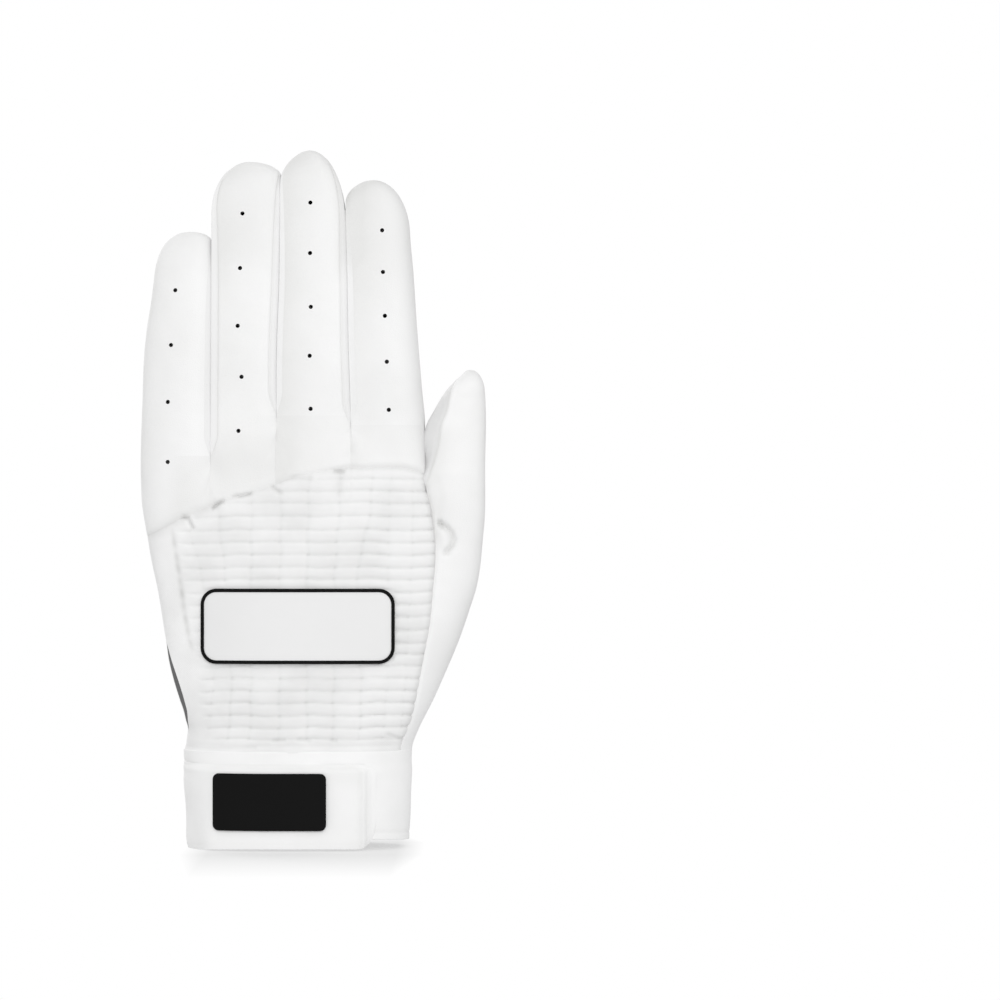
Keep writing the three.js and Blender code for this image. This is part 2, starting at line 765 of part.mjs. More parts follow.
function strapPieces(hand) {
  const opened = new THREE.Group();
  const endShare = wristShare(strapEnd);
  const rows = strapRows(0, endShare, 16, strapSeat, -1, strapBottom, strapTop);
  const places = rows[0].map((corner) => (corner.outer.x - strapEnd + strapCorner) / strapCorner);
  const strap = closedSheet(gridCells(roundEnd(rows, places)));
  strap.translate(0, -seamGap / 2, 0);
  piece("strap", strap, cuffCloth, opened);
  const rootShare = wristShare(wristLeft + strapRootLength);
  const root = strapRows(0, rootShare, 8, () => cuffFace + seamGap, 1, strapBottom, strapTop);
  const base = closedSheet(gridCells(root));
  base.translate(0, seamGap / 2, 0);
  piece("strap_base", base, cuffCloth, hand);
  const tape = (length, from, name, face, group) => {
    const height = strapTop - strapBottom - 2 * tapeInset;
    const centre = from - length / 2;
    const lay = (x, z) => ({
      outer: wristPoint(centre + x, (strapTop + strapBottom) / 2 + z, face, -1),
      inner: wristPoint(centre + x, (strapTop + strapBottom) / 2 + z, face - tapeWall, -1),
    });
    piece(name, closedSheet(plateCells(length, height, tapeCorner, lay)), tapeWhite, group);
  };
  tape(loopLength, strapEnd - tapeInset, "loop_pad", loopFace, hand);
  tape(hookLength - 2 * tapeInset, strapEnd - tapeInset, "hook_pad", hookFace, opened);
  const layPatch = (x, z) => {
    const place = patchCentre + x;
    const seat = strapSeat(wristShare(place)) + strapWall + seamGap;
    return {
      outer: wristPoint(place, patchCentreHeight + z, seat + patchWall, -1),
      inner: wristPoint(place, patchCentreHeight + z, seat, -1),
    };
  };
  const patch = closedSheet(plateCells(patchWidth, patchHeight, patchCorner, layPatch));
  patch.translate(0, -seamGap / 2, 0);
  piece("strap_patch", patch, dark, opened);
  glove.add(opened);
}

// The slit gusset: a dark stretch strip under the edge of the shirred panel
function wristGusset(hand) {
  const sunk = shirrWall + seamGap;
  const layer = (x, z, inset) => new THREE.Vector3(x, -handDepthAt(x, z, inset, backDepthShares), z);
  const rows = steps(cuffTop + seamGap, slitTop, 6).map((z) =>
    steps(0, 1, 5).map((share) => {
      const from = littleEdge(z) + sunk;
      const x = mix(from, from + gussetReach, share ** 2);
      return { outer: layer(x, z, sunk), inner: layer(x + stripWall, z, sunk + stripWall) };
    }),
  );
  piece("wrist_gusset", closedSheet(gridCells(rows)), gussetCloth, hand);
}

const hand = new THREE.Group();
glove.add(hand);
handSkins(hand);
webs(hand);
shirredBack(hand);
badge(hand);
piece("cuff_back", cuffHalf(-1), cuffCloth, hand);
piece("cuff_palm", cuffHalf(1), cuffCloth, hand);
wristGusset(hand);
thumbPieces(hand);
strapPieces(hand);
for (const finger of [little, ring, middle, index]) fingerPieces(finger);

export default glove;
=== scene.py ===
import math

import bpy
import numpy as np
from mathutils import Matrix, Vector


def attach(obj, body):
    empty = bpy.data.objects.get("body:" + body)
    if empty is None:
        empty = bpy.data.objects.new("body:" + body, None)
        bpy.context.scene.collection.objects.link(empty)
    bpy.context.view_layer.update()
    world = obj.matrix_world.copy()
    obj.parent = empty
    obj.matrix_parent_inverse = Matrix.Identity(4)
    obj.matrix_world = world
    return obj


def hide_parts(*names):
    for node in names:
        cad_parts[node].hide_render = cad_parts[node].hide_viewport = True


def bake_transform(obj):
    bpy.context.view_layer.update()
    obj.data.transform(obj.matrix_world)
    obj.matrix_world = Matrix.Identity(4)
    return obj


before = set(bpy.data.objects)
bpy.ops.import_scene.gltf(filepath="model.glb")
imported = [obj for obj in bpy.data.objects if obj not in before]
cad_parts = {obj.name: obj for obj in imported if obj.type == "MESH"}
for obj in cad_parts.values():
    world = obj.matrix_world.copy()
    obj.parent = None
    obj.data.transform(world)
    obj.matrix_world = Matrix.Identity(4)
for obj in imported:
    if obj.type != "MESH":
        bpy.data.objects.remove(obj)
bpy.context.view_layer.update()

# A batting glove for the left hand: fingertips up (+Z), thumb to +X, back of the hand to -Y.
# Sizes in this file are in millimetres, and a mesh is turned to metres as it is made.
metre = 0.001

cameraSet = {"distance": 1200, "frameWidth": 325, "centre": (65.65, 113.75), "sensor": 36,
             "clip": (0.05, 20), "pixels": 1000}


def placeCamera():
    data = bpy.data.cameras.new("viewCamera")
    data.sensor_width = cameraSet["sensor"]
    data.lens = cameraSet["sensor"] * cameraSet["distance"] / cameraSet["frameWidth"]
    data.clip_start, data.clip_end = cameraSet["clip"]
    camera = bpy.data.objects.new("viewCamera", data)
    across, up = cameraSet["centre"]
    camera.location = Vector((across, -cameraSet["distance"], up)) * metre
    camera.rotation_euler = (math.pi / 2, 0, 0)
    bpy.context.scene.collection.objects.link(camera)
    bpy.context.scene.camera = camera


placeCamera()
print("camera: in place")


def mix(low, high, share):
    return low + (high - low) * share


def clamp(share):
    return np.clip(share, 0, 1)


def ease(share):
    t = clamp(share)
    return t * t * (3 - 2 * t)


def rise(along, start, width):  # 0 before the start, 1 a width after it
    return ease((along - start) / width)


def fall(along, start, width):  # 1 before the start, 0 a width after it
    return 1 - ease((along - start) / width)


def through(rows, along):  # a smooth line through a table of (along, across) rows
    xs, ys = np.array(rows, float).T
    count = len(xs)
    before = np.maximum(np.arange(count) - 1, 0)
    after = np.minimum(np.arange(count) + 1, count - 1)
    slopes = (ys[after] - ys[before]) / (xs[after] - xs[before])
    i = np.clip(np.searchsorted(xs, along) - 1, 0, count - 2)
    wide, climb = xs[i + 1] - xs[i], ys[i + 1] - ys[i]
    t = clamp((along - xs[i]) / wide)
    m0, m1 = slopes[i] * wide, slopes[i + 1] * wide
    return ys[i] + t * (m0 + t * (3 * climb - 2 * m0 - m1 + t * (m0 + m1 - 2 * climb)))


def hump(away, width):  # 1 at a line, 0 well away from it
    return np.exp(-((away / width) ** 2))


def upShares(count):  # rows of shares from 0 to 1
    return np.linspace(0, 1, count)[:, None]


def alongShares(count):
    return np.linspace(0, 1, count)[None, :]


def roundShare(share):  # place across a half circle, for a share of the way round it
    return (1 - np.cos(math.pi * share)) / 2


def spots(x, y, z):
    return np.stack(np.broadcast_arrays(x, y, z), -1)


def nearPath(x, z, path, width):  # 1 on a line through the spots of a path, 0 away from it
    best = np.full(np.broadcast(x, z).shape, 1e9)
    for (x0, z0), (x1, z1) in zip(path, path[1:]):
        dx, dz = x1 - x0, z1 - z0
        t = clamp(((x - x0) * dx + (z - z0) * dz) / (dx * dx + dz * dz))
        best = np.minimum(best, np.hypot(x - x0 - t * dx, z - z0 - t * dz))
    return hump(best, width)


def spotAt(px, py, depth=12):  # where a place in the picture lies, for a depth in front of the middle plane
    across, up = cameraSet["centre"]
    scale = cameraSet["frameWidth"] / cameraSet["pixels"] * (1 - depth / cameraSet["distance"])
    middle = cameraSet["pixels"] / 2
    return across + (px - middle) * scale, up + (middle - py) * scale


def spotsAt(places, depth=12):
    return [spotAt(px, py, depth) for px, py in places]


def ripple(x, z, seed, scale):  # soft unevenness, about -1 to 1, always the same for a seed
    draw = np.random.RandomState(seed)
    total = np.zeros_like(np.asarray(x, float) + np.asarray(z, float))
    for _ in range(7):
        turn, phase, stretch = draw.uniform(0, 2 * math.pi, 2).tolist() + [draw.uniform(0.6, 1.5)]
        total += np.sin((x * math.cos(turn) + z * math.sin(turn)) * 2 * math.pi / (scale * stretch) + phase)
    return total / 4


# The glove's form, with the sizes of the CAD part
form = {
    "gloveLength": 228, "edgeReach": 51, "handDepth": 13.6, "curl": 5, "leanFrom": 150, "leanTo": 227.8,
    "cuffTop": 33, "panelFoot": 32.5, "thumbWeb": 118, "lowWeb": 126, "bend": 10, "thumbBendTop": 132,
    "gap": 0.04, "seamGap": 0.04, "leatherWall": 1.2, "stripWall": 1.1, "domePower": 2.15, "handPower": 3,
    "handRoot": 0.5, "stripEnd": 0.17, "seamOffset": 1.9, "outerCrown": 0.95, "innerCrown": 1.1,
    "grooveLow": 0.83, "grooveHigh": 0.77,
}
littleEdgeRows = [
    (0, -0.726), (0.138, -0.726), (0.151, -0.714), (0.164, -0.705), (0.175, -0.704), (0.185, -0.717),
    (0.2, -0.733), (0.214, -0.755), (0.242, -0.794), (0.271, -0.8255), (0.304, -0.8455), (0.371, -0.894),
    (0.414, -0.935), (0.456, -0.966), (0.5, -0.996), (0.57, -1), (0.64, -0.99), (0.7, -0.981),
    (0.742, -0.963), (0.784, -0.935), (0.84, -0.91), (1, -0.89),
]
indexEdgeRows = [
    (0.5, 0.812), (0.613, 0.808), (0.656, 0.79), (0.741, 0.759), (0.826, 0.733), (0.88, 0.712), (1, 0.7),
]
thumbGrooveRows = [
    (0, 0.66), (0.143, 0.663), (0.195, 0.732), (0.243, 0.776), (0.29, 0.815), (0.32, 0.839), (0.35, 0.853),
    (0.378, 0.861), (0.41, 0.872), (0.447, 0.869), (0.486, 0.845), (0.517, 0.818), (0.54, 0.8125),
    (0.588, 0.811), (0.605, 0.818), (0.623, 0.859), (0.65, 0.929), (0.666, 0.983), (0.678, 1.03),
    (0.7, 1.06),
]
thumbEdgeRows = [
    (0, 0.723), (0.143, 0.725), (0.171, 0.765), (0.214, 0.861), (0.257, 0.947), (0.304, 1.033),
    (0.346, 1.096), (0.375, 1.137), (0.404, 1.161), (0.442, 1.178), (0.48, 1.192), (0.552, 1.193),
    (0.613, 1.198), (0.656, 1.19), (0.7, 1.17),
]
backDepthRows = [(0, 1.2), (0.15, 1.2), (0.26, 1.1), (0.44, 1), (0.56, 0.93), (0.7, 0.86)]
palmDepthRows = [(0, 1.2), (0.15, 1.2), (0.26, 1.22), (0.4, 1.14), (0.56, 0.95), (0.7, 0.86)]


def edgeAt(rows, z):
    return form["edgeReach"] * through(rows, z / form["gloveLength"])


def littleEdge(z):
    return edgeAt(littleEdgeRows, z)


def thumbGroove(z):
    return edgeAt(thumbGrooveRows, z)


def thumbEdge(z):
    return edgeAt(thumbEdgeRows, z)


def indexEdge(z):
    return np.where(z > form["thumbWeb"], edgeAt(indexEdgeRows, z), thumbGroove(z))


# The lines between neighbouring fingers, as rows of (height, place across)
def littleRing(z):
    return through([(118, -28), (150, -27.8), (210, -27.75), (230, -27.7)], z)


def ringMiddle(z):
    return through([(118, -6.6), (140, -6.5), (156, -6.6), (168, -6.4), (182, -5.9), (200, -5.7),
                    (230, -5.8)], z)


def middleIndex(z):
    return through([(118, 17.6), (136, 17.5), (154, 17), (165, 16.6), (178, 16.4), (190, 16.1), (200, 15.8),
                    (208, 15.5), (230, 15.3)], z)


def finger(name, sides, webs, strips, heights, tipPlace, **extra):
    split, fold, knuckle, tip = heights
    return {
        "name": name, "sides": sides, "webs": webs, "strips": strips, "split": split, "fold": fold,
        "knuckle": knuckle, "tip": tip, "tipPlace": tipPlace, "root": 10, "end": 8.2, "dome": 12.5,
        "crown": None, "skew": 0.18, "tone": (0.4, 0.4, 0),
    } | extra


# split is where a finger's own leathers start to bend: just above the higher of its webs
# shoulders are the length and roundness of the tip on its two sides, seams the depth of its two back seams,
# and tone the strength of the painted shade beside the left seam at its foot and near its tip, and over the
# whole upper half
little = finger(
    "little", (littleEdge, littleRing), (126, 126), (0, 3.6), (128, 136, 158, 201), -35,
    shoulders=((15, 2.4), (4, 2.2)), seams=(0.8, 0.1),
)
ring = finger(
    "ring", (littleRing, ringMiddle), (126, 140), (3.6, 3.6), (141, 150, 174, 224), -16.5,
    shoulders=((17.4, 2.1), (4.8, 2)), seams=(0.9, 0.9), tone=(0.4, 0.7, 0.2),
)
middle = finger(
    "middle", (ringMiddle, middleIndex), (140, 136.5), (3.6, 3.6), (141, 150, 176, 227.8), 3.4,
    shoulders=((11, 1.8), (24, 2)), seams=(0.1, 0.9), tone=(0.8, 0.95, 0.08),
)
index = finger(
    "index", (middleIndex, indexEdge), (136.5, 118), (3.6, 0), (138, 146.5, 170, 218), 24.4,
    shoulders=((8, 2), (17, 2)), seams=(0.15, 0.8), skew=0.1, tone=(0.35, 0.65, 0.4),
)
thumb = finger(
    "thumb", (thumbGroove, thumbEdge), (118, 118), (4.4, 0), (119, 122, 156, 156), 56,
    root=10.6, dome=9, crown=0.5, skew=0, shoulders=((9, 2.9), (7, 2.2)), seams=(1, 0.8),
)
longFingers = [little, ring, middle, index]


def closing(f, z, side=None):  # 1 below the tip, 0 at its top
    dome, power = (f["dome"], form["domePower"]) if side is None else f["shoulders"][side]
    share = clamp((z - f["tip"] + dome) / dome)
    return np.maximum(0, 1 - share**power) ** (1 / power)


def opening(f, z, side):  # 0 at a web, 1 a little above it
    return rise(z, f["webs"][side], 4)


def sideX(f, z, side):
    outer = f["strips"][side] == 0
    room = 0 if outer else form["gap"] / 2 * opening(f, z, side)
    place = f["sides"][side](z) + (room if side == 0 else -room)
    return mix(f["tipPlace"], place, closing(f, z, side))


def stripTop(f):
    return f["tip"] - f["dome"] * form["stripEnd"]


def runOut(f, z, power=4):  # a side strip keeps its width up the finger and runs out under the tip
    share = clamp((z - f["fold"]) / (stripTop(f) - f["fold"]))
    return np.maximum(0, 1 - share**power)


def deepAt(f, z):  # half the thickness of a finger at its middle
    taper = clamp((z - f["fold"]) / (f["tip"] - f["dome"] - f["fold"]))
    return mix(f["root"], f["end"], taper) * closing(f, z)


def sideHalf(f, z, side, facing):  # depth at which the back or front ends in the groove beside a neighbour
    low = form["leatherWall"] * fall(z, f["webs"][side], 3)
    if f is index and side == 1:
        atWeb = form["grooveLow"] * f["root"] if facing < 0 else thumb["strips"][0] + low
        return form["seamGap"] / 2 + atWeb * fall(z, form["thumbWeb"], 19)
    if f["strips"][side] == 0:
        return form["seamGap"] / 2 + 0 * z
    half = form["seamGap"] / 2 + f["strips"][side] * np.where(z <= f["webs"][side], 1, runOut(f, z)) + low
    if facing < 0:
        high = mix(form["grooveLow"], form["grooveHigh"], rise(z, f["webs"][side], 25))
        high = high * (1 - 0.45 * rise(z, f["split"], 8)) if f is thumb else high
        half = np.maximum(half, high * deepAt(f, z) * runOut(f, z, 16))
    return half


def leanAt(z):
    return form["curl"] * clamp((z - form["leanFrom"]) / (form["leanTo"] - form["leanFrom"])) ** 2


def handDepthAt(x, z, rows, lift=0):
    left, right = littleEdge(z), thumbEdge(np.minimum(z, form["thumbWeb"]))
    reach = (right - left) / 2 + lift
    across = np.minimum(1, np.abs(x - (left + right) / 2) / reach)
    half = form["seamGap"] / 2
    deep = form["handDepth"] * through(rows, z / form["gloveLength"]) + lift - half
    return half + deep * (1 - across ** form["handPower"]) ** form["handRoot"]


def skinDepth(f, x, z, facing):
    left, right = sideX(f, z, 0), sideX(f, z, 1)
    across = clamp((x - left) / np.maximum(right - left, 1e-9))
    across = np.where(right - left < 1e-6, 0.5, across)
    turn = np.arccos(1 - 2 * across)
    share = turn / math.pi
    side = mix(sideHalf(f, z, 0, facing), sideHalf(f, z, 1, facing), share)
    crowns = [form["innerCrown"] if strip else form["outerCrown"] for strip in f["strips"]]
    crown = f["crown"] or mix(crowns[0], crowns[1], share)
    skewed = turn - f["skew"] * math.pi * np.sin(turn) if facing < 0 else turn
    ofFinger = side + np.maximum(0, deepAt(f, z) - side) * np.sin(skewed) ** crown
    reach = 62 if f is thumb else 7 + 14 * np.sin(turn) ** 2
    grown = [ease((z - web + reach) / reach) for web in f["webs"]]
    ofHand = handDepthAt(x, z, backDepthRows if facing < 0 else palmDepthRows)
    if f is not thumb:
        for edge, web in zip((left, right), f["webs"]):
            if web > form["thumbWeb"]:
                ofHand = ofHand - 0.9 * hump(x - edge, 4.5) * ease((z - web + 24) / 20)
    return mix(ofHand, ofFinger, mix(grown[0], grown[1], share))


def xAt(f, share, z):  # place of a share of the way round from a finger's left edge to its right
    return mix(sideX(f, z, 0), sideX(f, z, 1), roundShare(share))


def seamShare(f, z, side, facing):  # share at which the back or front leather ends in its seam
    if f["strips"][side] == 0:
        return 0 * z
    offset = form["seamOffset"] * rise(z, f["webs"][side], 9) * runOut(f, z)
    if f is thumb and facing < 0:
        offset = facetWidth(z)  # the thumb is turned, so that its inner strip shows from the back
    wide = np.maximum(sideX(f, z, 1) - sideX(f, z, 0), 1e-6)
    return np.arccos(1 - 2 * np.minimum(0.45, offset / wide)) / math.pi


def facetWidth(z):
    return through([(118, 0), (122.2, 1.1), (126, 2.5), (130.3, 3.7), (137.5, 4.7), (142.5, 4.1),
                    (149.2, 1.4), (152.5, 0.15), (154, 0)], z)


# Unevenness of the leathers, towards the outside, and their folds as lines of (place across, height)
leatherLook = {"swell": 0.16, "crinkle": 0.05, "seamDepth": 0.42, "seamWidth": 0.5, "grooveDepth": 0.4}
palmFolds = [
    ([(37, 113), (27, 108), (18, 99), (12.5, 86), (11.5, 72), (15, 58), (22, 47)], 1.5, 0.75),
    ([(-47, 99), (-34, 99), (-20, 102), (-6, 108), (4, 116), (9, 124)], 1.3, 0.6),
    ([(35, 109), (20, 103), (4, 95), (-12, 87), (-26, 82)], 1.3, 0.5),
    ([(-40, 62), (-25, 58), (-8, 57)], 2.2, 0.35), ([(-44, 47), (-20, 44), (0, 45)], 2, 0.35),
]
thumbFolds = [
    (spotsAt([(440, 524), (446, 527), (451, 533), (453.5, 540), (451.5, 547), (446, 553)]), 0.85, 1.6),
    (spotsAt([(439.5, 522), (442.5, 526.5)]), 0.7, 1.1), (spotsAt([(443, 537), (444, 545)]), 1.2, -0.45),
    (spotsAt([(437, 480), (441, 497), (438, 515)]), 1.3, 0.25),
]


def foldsAt(x, z, folds):
    return sum(depth * nearPath(x, z, path, width) for path, width, depth in folds)


def leatherLift(x, z, facing):
    seed = 3 if facing < 0 else 4
    lift = leatherLook["swell"] * ripple(x, z, seed, 26)
    lift = (lift + leatherLook["crinkle"] * ripple(x, z, seed + 10, 8)) * rise(z, form["cuffTop"], 6)
    groove = rise(z, 36, 8) * fall(z, 117, 6)
    lift -= leatherLook["grooveDepth"] * groove * hump(x - thumbGroove(z), 0.8)
    return lift - foldsAt(x, z, palmFolds if facing > 0 else thumbFolds)


def flexFolds(f, z):  # cross folds on the front of a finger, where it bends
    places = [(f["fold"] + 1, 0.35), (f["knuckle"] - 1.3, 0.3), (f["knuckle"] + 1.3, 0.3)]
    places.append((f["knuckle"] + 0.52 * (f["tip"] - f["knuckle"]), 0.22))
    return sum(depth * hump(z - place, 0.9) for place, depth in places)


def skinPoints(f, share, z, facing):
    x = xAt(f, share, z)
    lift = leatherLift(x, z, facing)
    if facing > 0 and f is not thumb:
        lift = lift - flexFolds(f, z) * rise(z, f["webs"][1], 8) * np.sin(math.pi * share) ** 0.5
    depth = skinDepth(f, x, z, facing) + lift * closing(f, z)
    return spots(x, leanAt(z) + facing * depth, z)


def inwards(f, points):  # the way from a point of a finger to its middle line
    x, y, z = np.moveaxis(points, -1, 0)
    away = spots(x - (sideX(f, z, 0) + sideX(f, z, 1)) / 2, 0.7 * (y - leanAt(z)), 0)
    return -away / np.maximum(np.linalg.norm(away, axis=-1, keepdims=True), 1e-6)


def seamDip(along):  # depth of a seam at a distance from its line: a dip with a soft roll beside it
    return leatherLook["seamDepth"] * hump(along, leatherLook["seamWidth"]) - 0.12 * hump(along - 1.25, 0.6)


def arcLengths(points):
    step = np.linalg.norm(np.diff(points, axis=1), axis=-1)
    along = np.concatenate([np.zeros((len(points), 1)), np.cumsum(step, 1)], 1)
    return along, along[:, -1:] - along


def deselectAll():
    if bpy.context.object and bpy.context.object.mode != "OBJECT":
        bpy.ops.object.mode_set(mode="OBJECT")
    bpy.ops.object.select_all(action="DESELECT")


def onlySelect(obj):
    deselectAll()
    obj.select_set(True)
    bpy.context.view_layer.objects.active = obj


# the crease mark is how much a point's colour is darkened: painted shade in seams, creases and folds
def markCrease(obj, crease):
    mark = obj.data.attributes.new("crease", "FLOAT", "POINT")
    mark.data.foreach_set("value", crease.astype(np.float32).ravel())
    obj.data.update()


def gridPiece(points, crease):  # a grid shaped to rows and columns of points
    rows, columns = points.shape[:2]
    deselectAll()
    bpy.ops.mesh.primitive_grid_add(x_subdivisions=columns - 1, y_subdivisions=rows - 1, size=1)
    obj = bpy.context.object
    obj.data.vertices.foreach_set("co", (points * metre).ravel())
    markCrease(obj, np.broadcast_to(crease, (rows, columns)))
    return obj


def joined(objs, name):
    deselectAll()
    for obj in objs:
        obj.select_set(True)
    bpy.context.view_layer.objects.active = objs[0]
    if len(objs) > 1:
        bpy.ops.object.join()
    obj = bpy.context.object
    obj.name = obj.data.name = name
    return obj


def mergeDoubles(obj):
    onlySelect(obj)
    bpy.ops.object.mode_set(mode="EDIT")
    bpy.ops.mesh.select_all(action="SELECT")
    bpy.ops.mesh.remove_doubles(threshold=0.004 * metre)
    bpy.ops.mesh.dissolve_degenerate(threshold=0.004 * metre)
    bpy.ops.object.mode_set(mode="OBJECT")


def applyModifier(obj, kind, **values):
    modifier = obj.modifiers.new(kind.lower(), kind)
    for key, value in values.items():
        setattr(modifier, key, value)
    onlySelect(obj)
    bpy.ops.object.modifier_apply(modifier=modifier.name)


def thicken(obj, wall, **values):  # inwards, from the outer surface
    applyModifier(obj, "SOLIDIFY", thickness=wall * metre, offset=-1, **values)


def roundEdges(obj, width):
    angle = math.radians(50)
    applyModifier(obj, "BEVEL", width=width * metre, segments=3, limit_method="ANGLE", angle_limit=angle)


def smooth(obj, degrees=55):
    onlySelect(obj)
    bpy.ops.object.shade_smooth_by_angle(angle=math.radians(degrees))


def dress(obj, material):
    obj.data.materials.clear()
    obj.data.materials.append(material)


def titled(node):  # the piece of little_upper_back is littleUpperBack
    first, *rest = node.split("_")
    return first + "".join(word.capitalize() for word in rest)


def sewn(grids, cloth, node, name=None):  # a leather from grids of (points, crease)
    wall, material, slotName = cloth
    obj = joined([gridPiece(points, crease) for points, crease in grids], name or titled(node))
    mergeDoubles(obj)
    thicken(obj, wall)
    dress(obj, material)
    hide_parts(node)
    return obj


def fit(obj, material, node, body):  # looks, node and body of a piece that isn't sewn
    dress(obj, material)
    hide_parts(node)
    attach(obj, body)


def rideHand(obj, degrees=55):
    smooth(obj, degrees)
    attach(obj, "hand")


def shaderGroup(name, ins, outs):  # ins and outs are tables of socket names and kinds
    group = bpy.data.node_groups.new(name, "ShaderNodeTree")
    for way, table in (("INPUT", ins), ("OUTPUT", outs)):
        for label, kind in table.items():
            group.interface.new_socket(name=label, in_out=way, socket_type="NodeSocket" + kind)
    return group, group.nodes.new("NodeGroupInput").outputs, group.nodes.new("NodeGroupOutput").inputs


def feed(tree, socket, value):  # value is another node's output or a constant
    if hasattr(value, "is_linked"):
        tree.links.new(value, socket)
    else:
        socket.default_value = value


def addNode(tree, kind, settings=None, **sockets):  # settings of the node, and what goes into its sockets
    made = tree.nodes.new("ShaderNode" + kind)
    for key, value in (settings or {}).items():
        setattr(made, key, value)
    for label, value in sockets.items():
        feed(tree, made.inputs[label], value)
    return made


def inOrder(tree, kind, terms, settings=None):  # the result of a node whose sockets take the terms in order
    made = addNode(tree, kind, settings)
    for socket, value in zip(made.inputs, terms):
        feed(tree, socket, value)
    return made.outputs[0]


def calc(tree, operation, *terms, limited=False):  # the result of a sum on nodes or constants
    return inOrder(tree, "Math", terms, {"operation": operation, "use_clamp": limited})


def noise(tree, place, scale, detail):
    return addNode(tree, "TexNoise", Vector=place, Scale=scale, Detail=detail).outputs


textureSockets = {"Place": "Vector", "Cells": "Float"}, {"Height": "Float", "Tone": "Float"}


def grainGroup():  # leather grain: fine cells broken up by noise
    group, given, made = shaderGroup("leatherGrain", *textureSockets)
    bending = noise(group, given["Place"], 420, 2)["Color"], (0.0007, 0.0007, 0.0007), given["Place"]
    bent = inOrder(group, "VectorMath", bending, {"operation": "MULTIPLY_ADD"})
    settings = {"feature": "DISTANCE_TO_EDGE"}
    cells = addNode(group, "TexVoronoi", settings, Vector=bent, Scale=given["Cells"])
    top = calc(group, "MULTIPLY", cells.outputs["Distance"], 3.2, limited=True)
    fine = noise(group, given["Place"], 5200, 2)[0]
    feed(group, made["Height"], calc(group, "MULTIPLY_ADD", fine, 0.35, top))
    feed(group, made["Tone"], noise(group, given["Place"], 38, 3)[0])
    return group


def weaveGroup():  # knitted cloth: rows of small loops
    group, given, made = shaderGroup("clothWeave", *textureSockets)
    parts = addNode(group, "SeparateXYZ", Vector=given["Place"]).outputs
    turns = [calc(group, "MULTIPLY", parts[axis], given["Cells"]) for axis in ("X", "Z")]
    waves = [calc(group, "SINE", calc(group, "MULTIPLY", turn, 2 * math.pi)) for turn in turns]
    loops = calc(group, "MULTIPLY_ADD", calc(group, "MULTIPLY", *waves), 0.35, 0.5)
    fuzz = calc(group, "ADD", noise(group, given["Place"], 4200, 3)[0], 0.4)
    feed(group, made["Height"], calc(group, "MULTIPLY", loops, fuzz))
    feed(group, made["Tone"], noise(group, given["Place"], 60, 3)[0])
    return group


def seamGroup():  # colour of a surface, darkened by painted shade in its seams, creases and folds and by random tone
    kinds = {"Clean": "Color", "Dusty": "Color", "Tone": "Float"}, {"Colour": "Color", "Mask": "Float"}
    group, given, made = shaderGroup("seamShade", *kinds)
    mark = addNode(group, "Attribute", {"attribute_name": "crease"})
    uneven = calc(group, "MULTIPLY", calc(group, "SUBTRACT", given["Tone"], 0.42), 0.9, limited=True)
    total = calc(group, "ADD", mark.outputs["Fac"], uneven, limited=True)
    colours = addNode(group, "Mix", {"data_type": "RGBA"})
    for i, value in zip((0, 6, 7), (total, given["Clean"], given["Dusty"])):
        feed(group, colours.inputs[i], value)
    feed(group, made["Colour"], colours.outputs[2])
    feed(group, made["Mask"], total)
    return group


grain, weave, seamShade = grainGroup(), weaveGroup(), seamGroup()


def softMaterial(name, texture, look):
    material = bpy.data.materials.new(name)
    material.use_nodes = True
    tree = material.node_tree
    shader = tree.nodes["Principled BSDF"].inputs
    place = addNode(tree, "TexCoord").outputs["Object"]
    surface = addNode(tree, "Group", {"node_tree": texture}, Place=place, Cells=look["cells"]).outputs
    colours = {"Clean": look["clean"], "Dusty": look["dusty"], "Tone": surface["Tone"]}
    shade = addNode(tree, "Group", {"node_tree": seamShade}, **colours)
    feed(tree, shader["Base Color"], shade.outputs["Colour"])
    relief = {"Strength": look["strength"], "Distance": look["relief"] * metre, "Height": surface["Height"]}
    bump = addNode(tree, "Bump", **relief)
    feed(tree, shader["Normal"], bump.outputs["Normal"])
    rough = calc(tree, "MULTIPLY_ADD", surface["Height"], look["roughSpread"], look["rough"])
    feed(tree, shader["Roughness"], rough)
    shader["Specular IOR Level"].default_value = look["gloss"]
    shader["Sheen Weight"].default_value = look["sheen"]
    material.diffuse_color = look["clean"]
    return material


def grey(level, warm=0):
    return (level, level, level * (1 - warm), 1)


# the second colour of each finish is the darker one that painted shade and random tone mix in
leatherFinish = {
    "cells": 1400, "clean": grey(0.9), "dusty": grey(0.77, 0.01), "strength": 0.35, "relief": 0.05,
    "rough": 0.5, "roughSpread": 0.12, "gloss": 0.3, "sheen": 0,
}
stripFinish = leatherFinish | {
    "cells": 1700, "clean": grey(0.85), "dusty": grey(0.76, 0.01), "rough": 0.55, "gloss": 0.25,
}
# a darker copy of the strip leather, for painted shade on the thumb's turned gusset
shadedGussetFinish = stripFinish | {"clean": grey(0.81), "dusty": grey(0.7, 0.01)}
shirrFinish = {
    "cells": 1300, "clean": grey(0.91), "dusty": grey(0.64, 0.01), "strength": 0.5, "relief": 0.08,
    "rough": 0.75, "roughSpread": 0.1, "gloss": 0.2, "sheen": 0.05,
}
cuffFinish = shirrFinish | {
    "cells": 1600, "clean": grey(0.92), "dusty": grey(0.8, 0.01), "strength": 0.3, "relief": 0.05,
    "rough": 0.7,
}
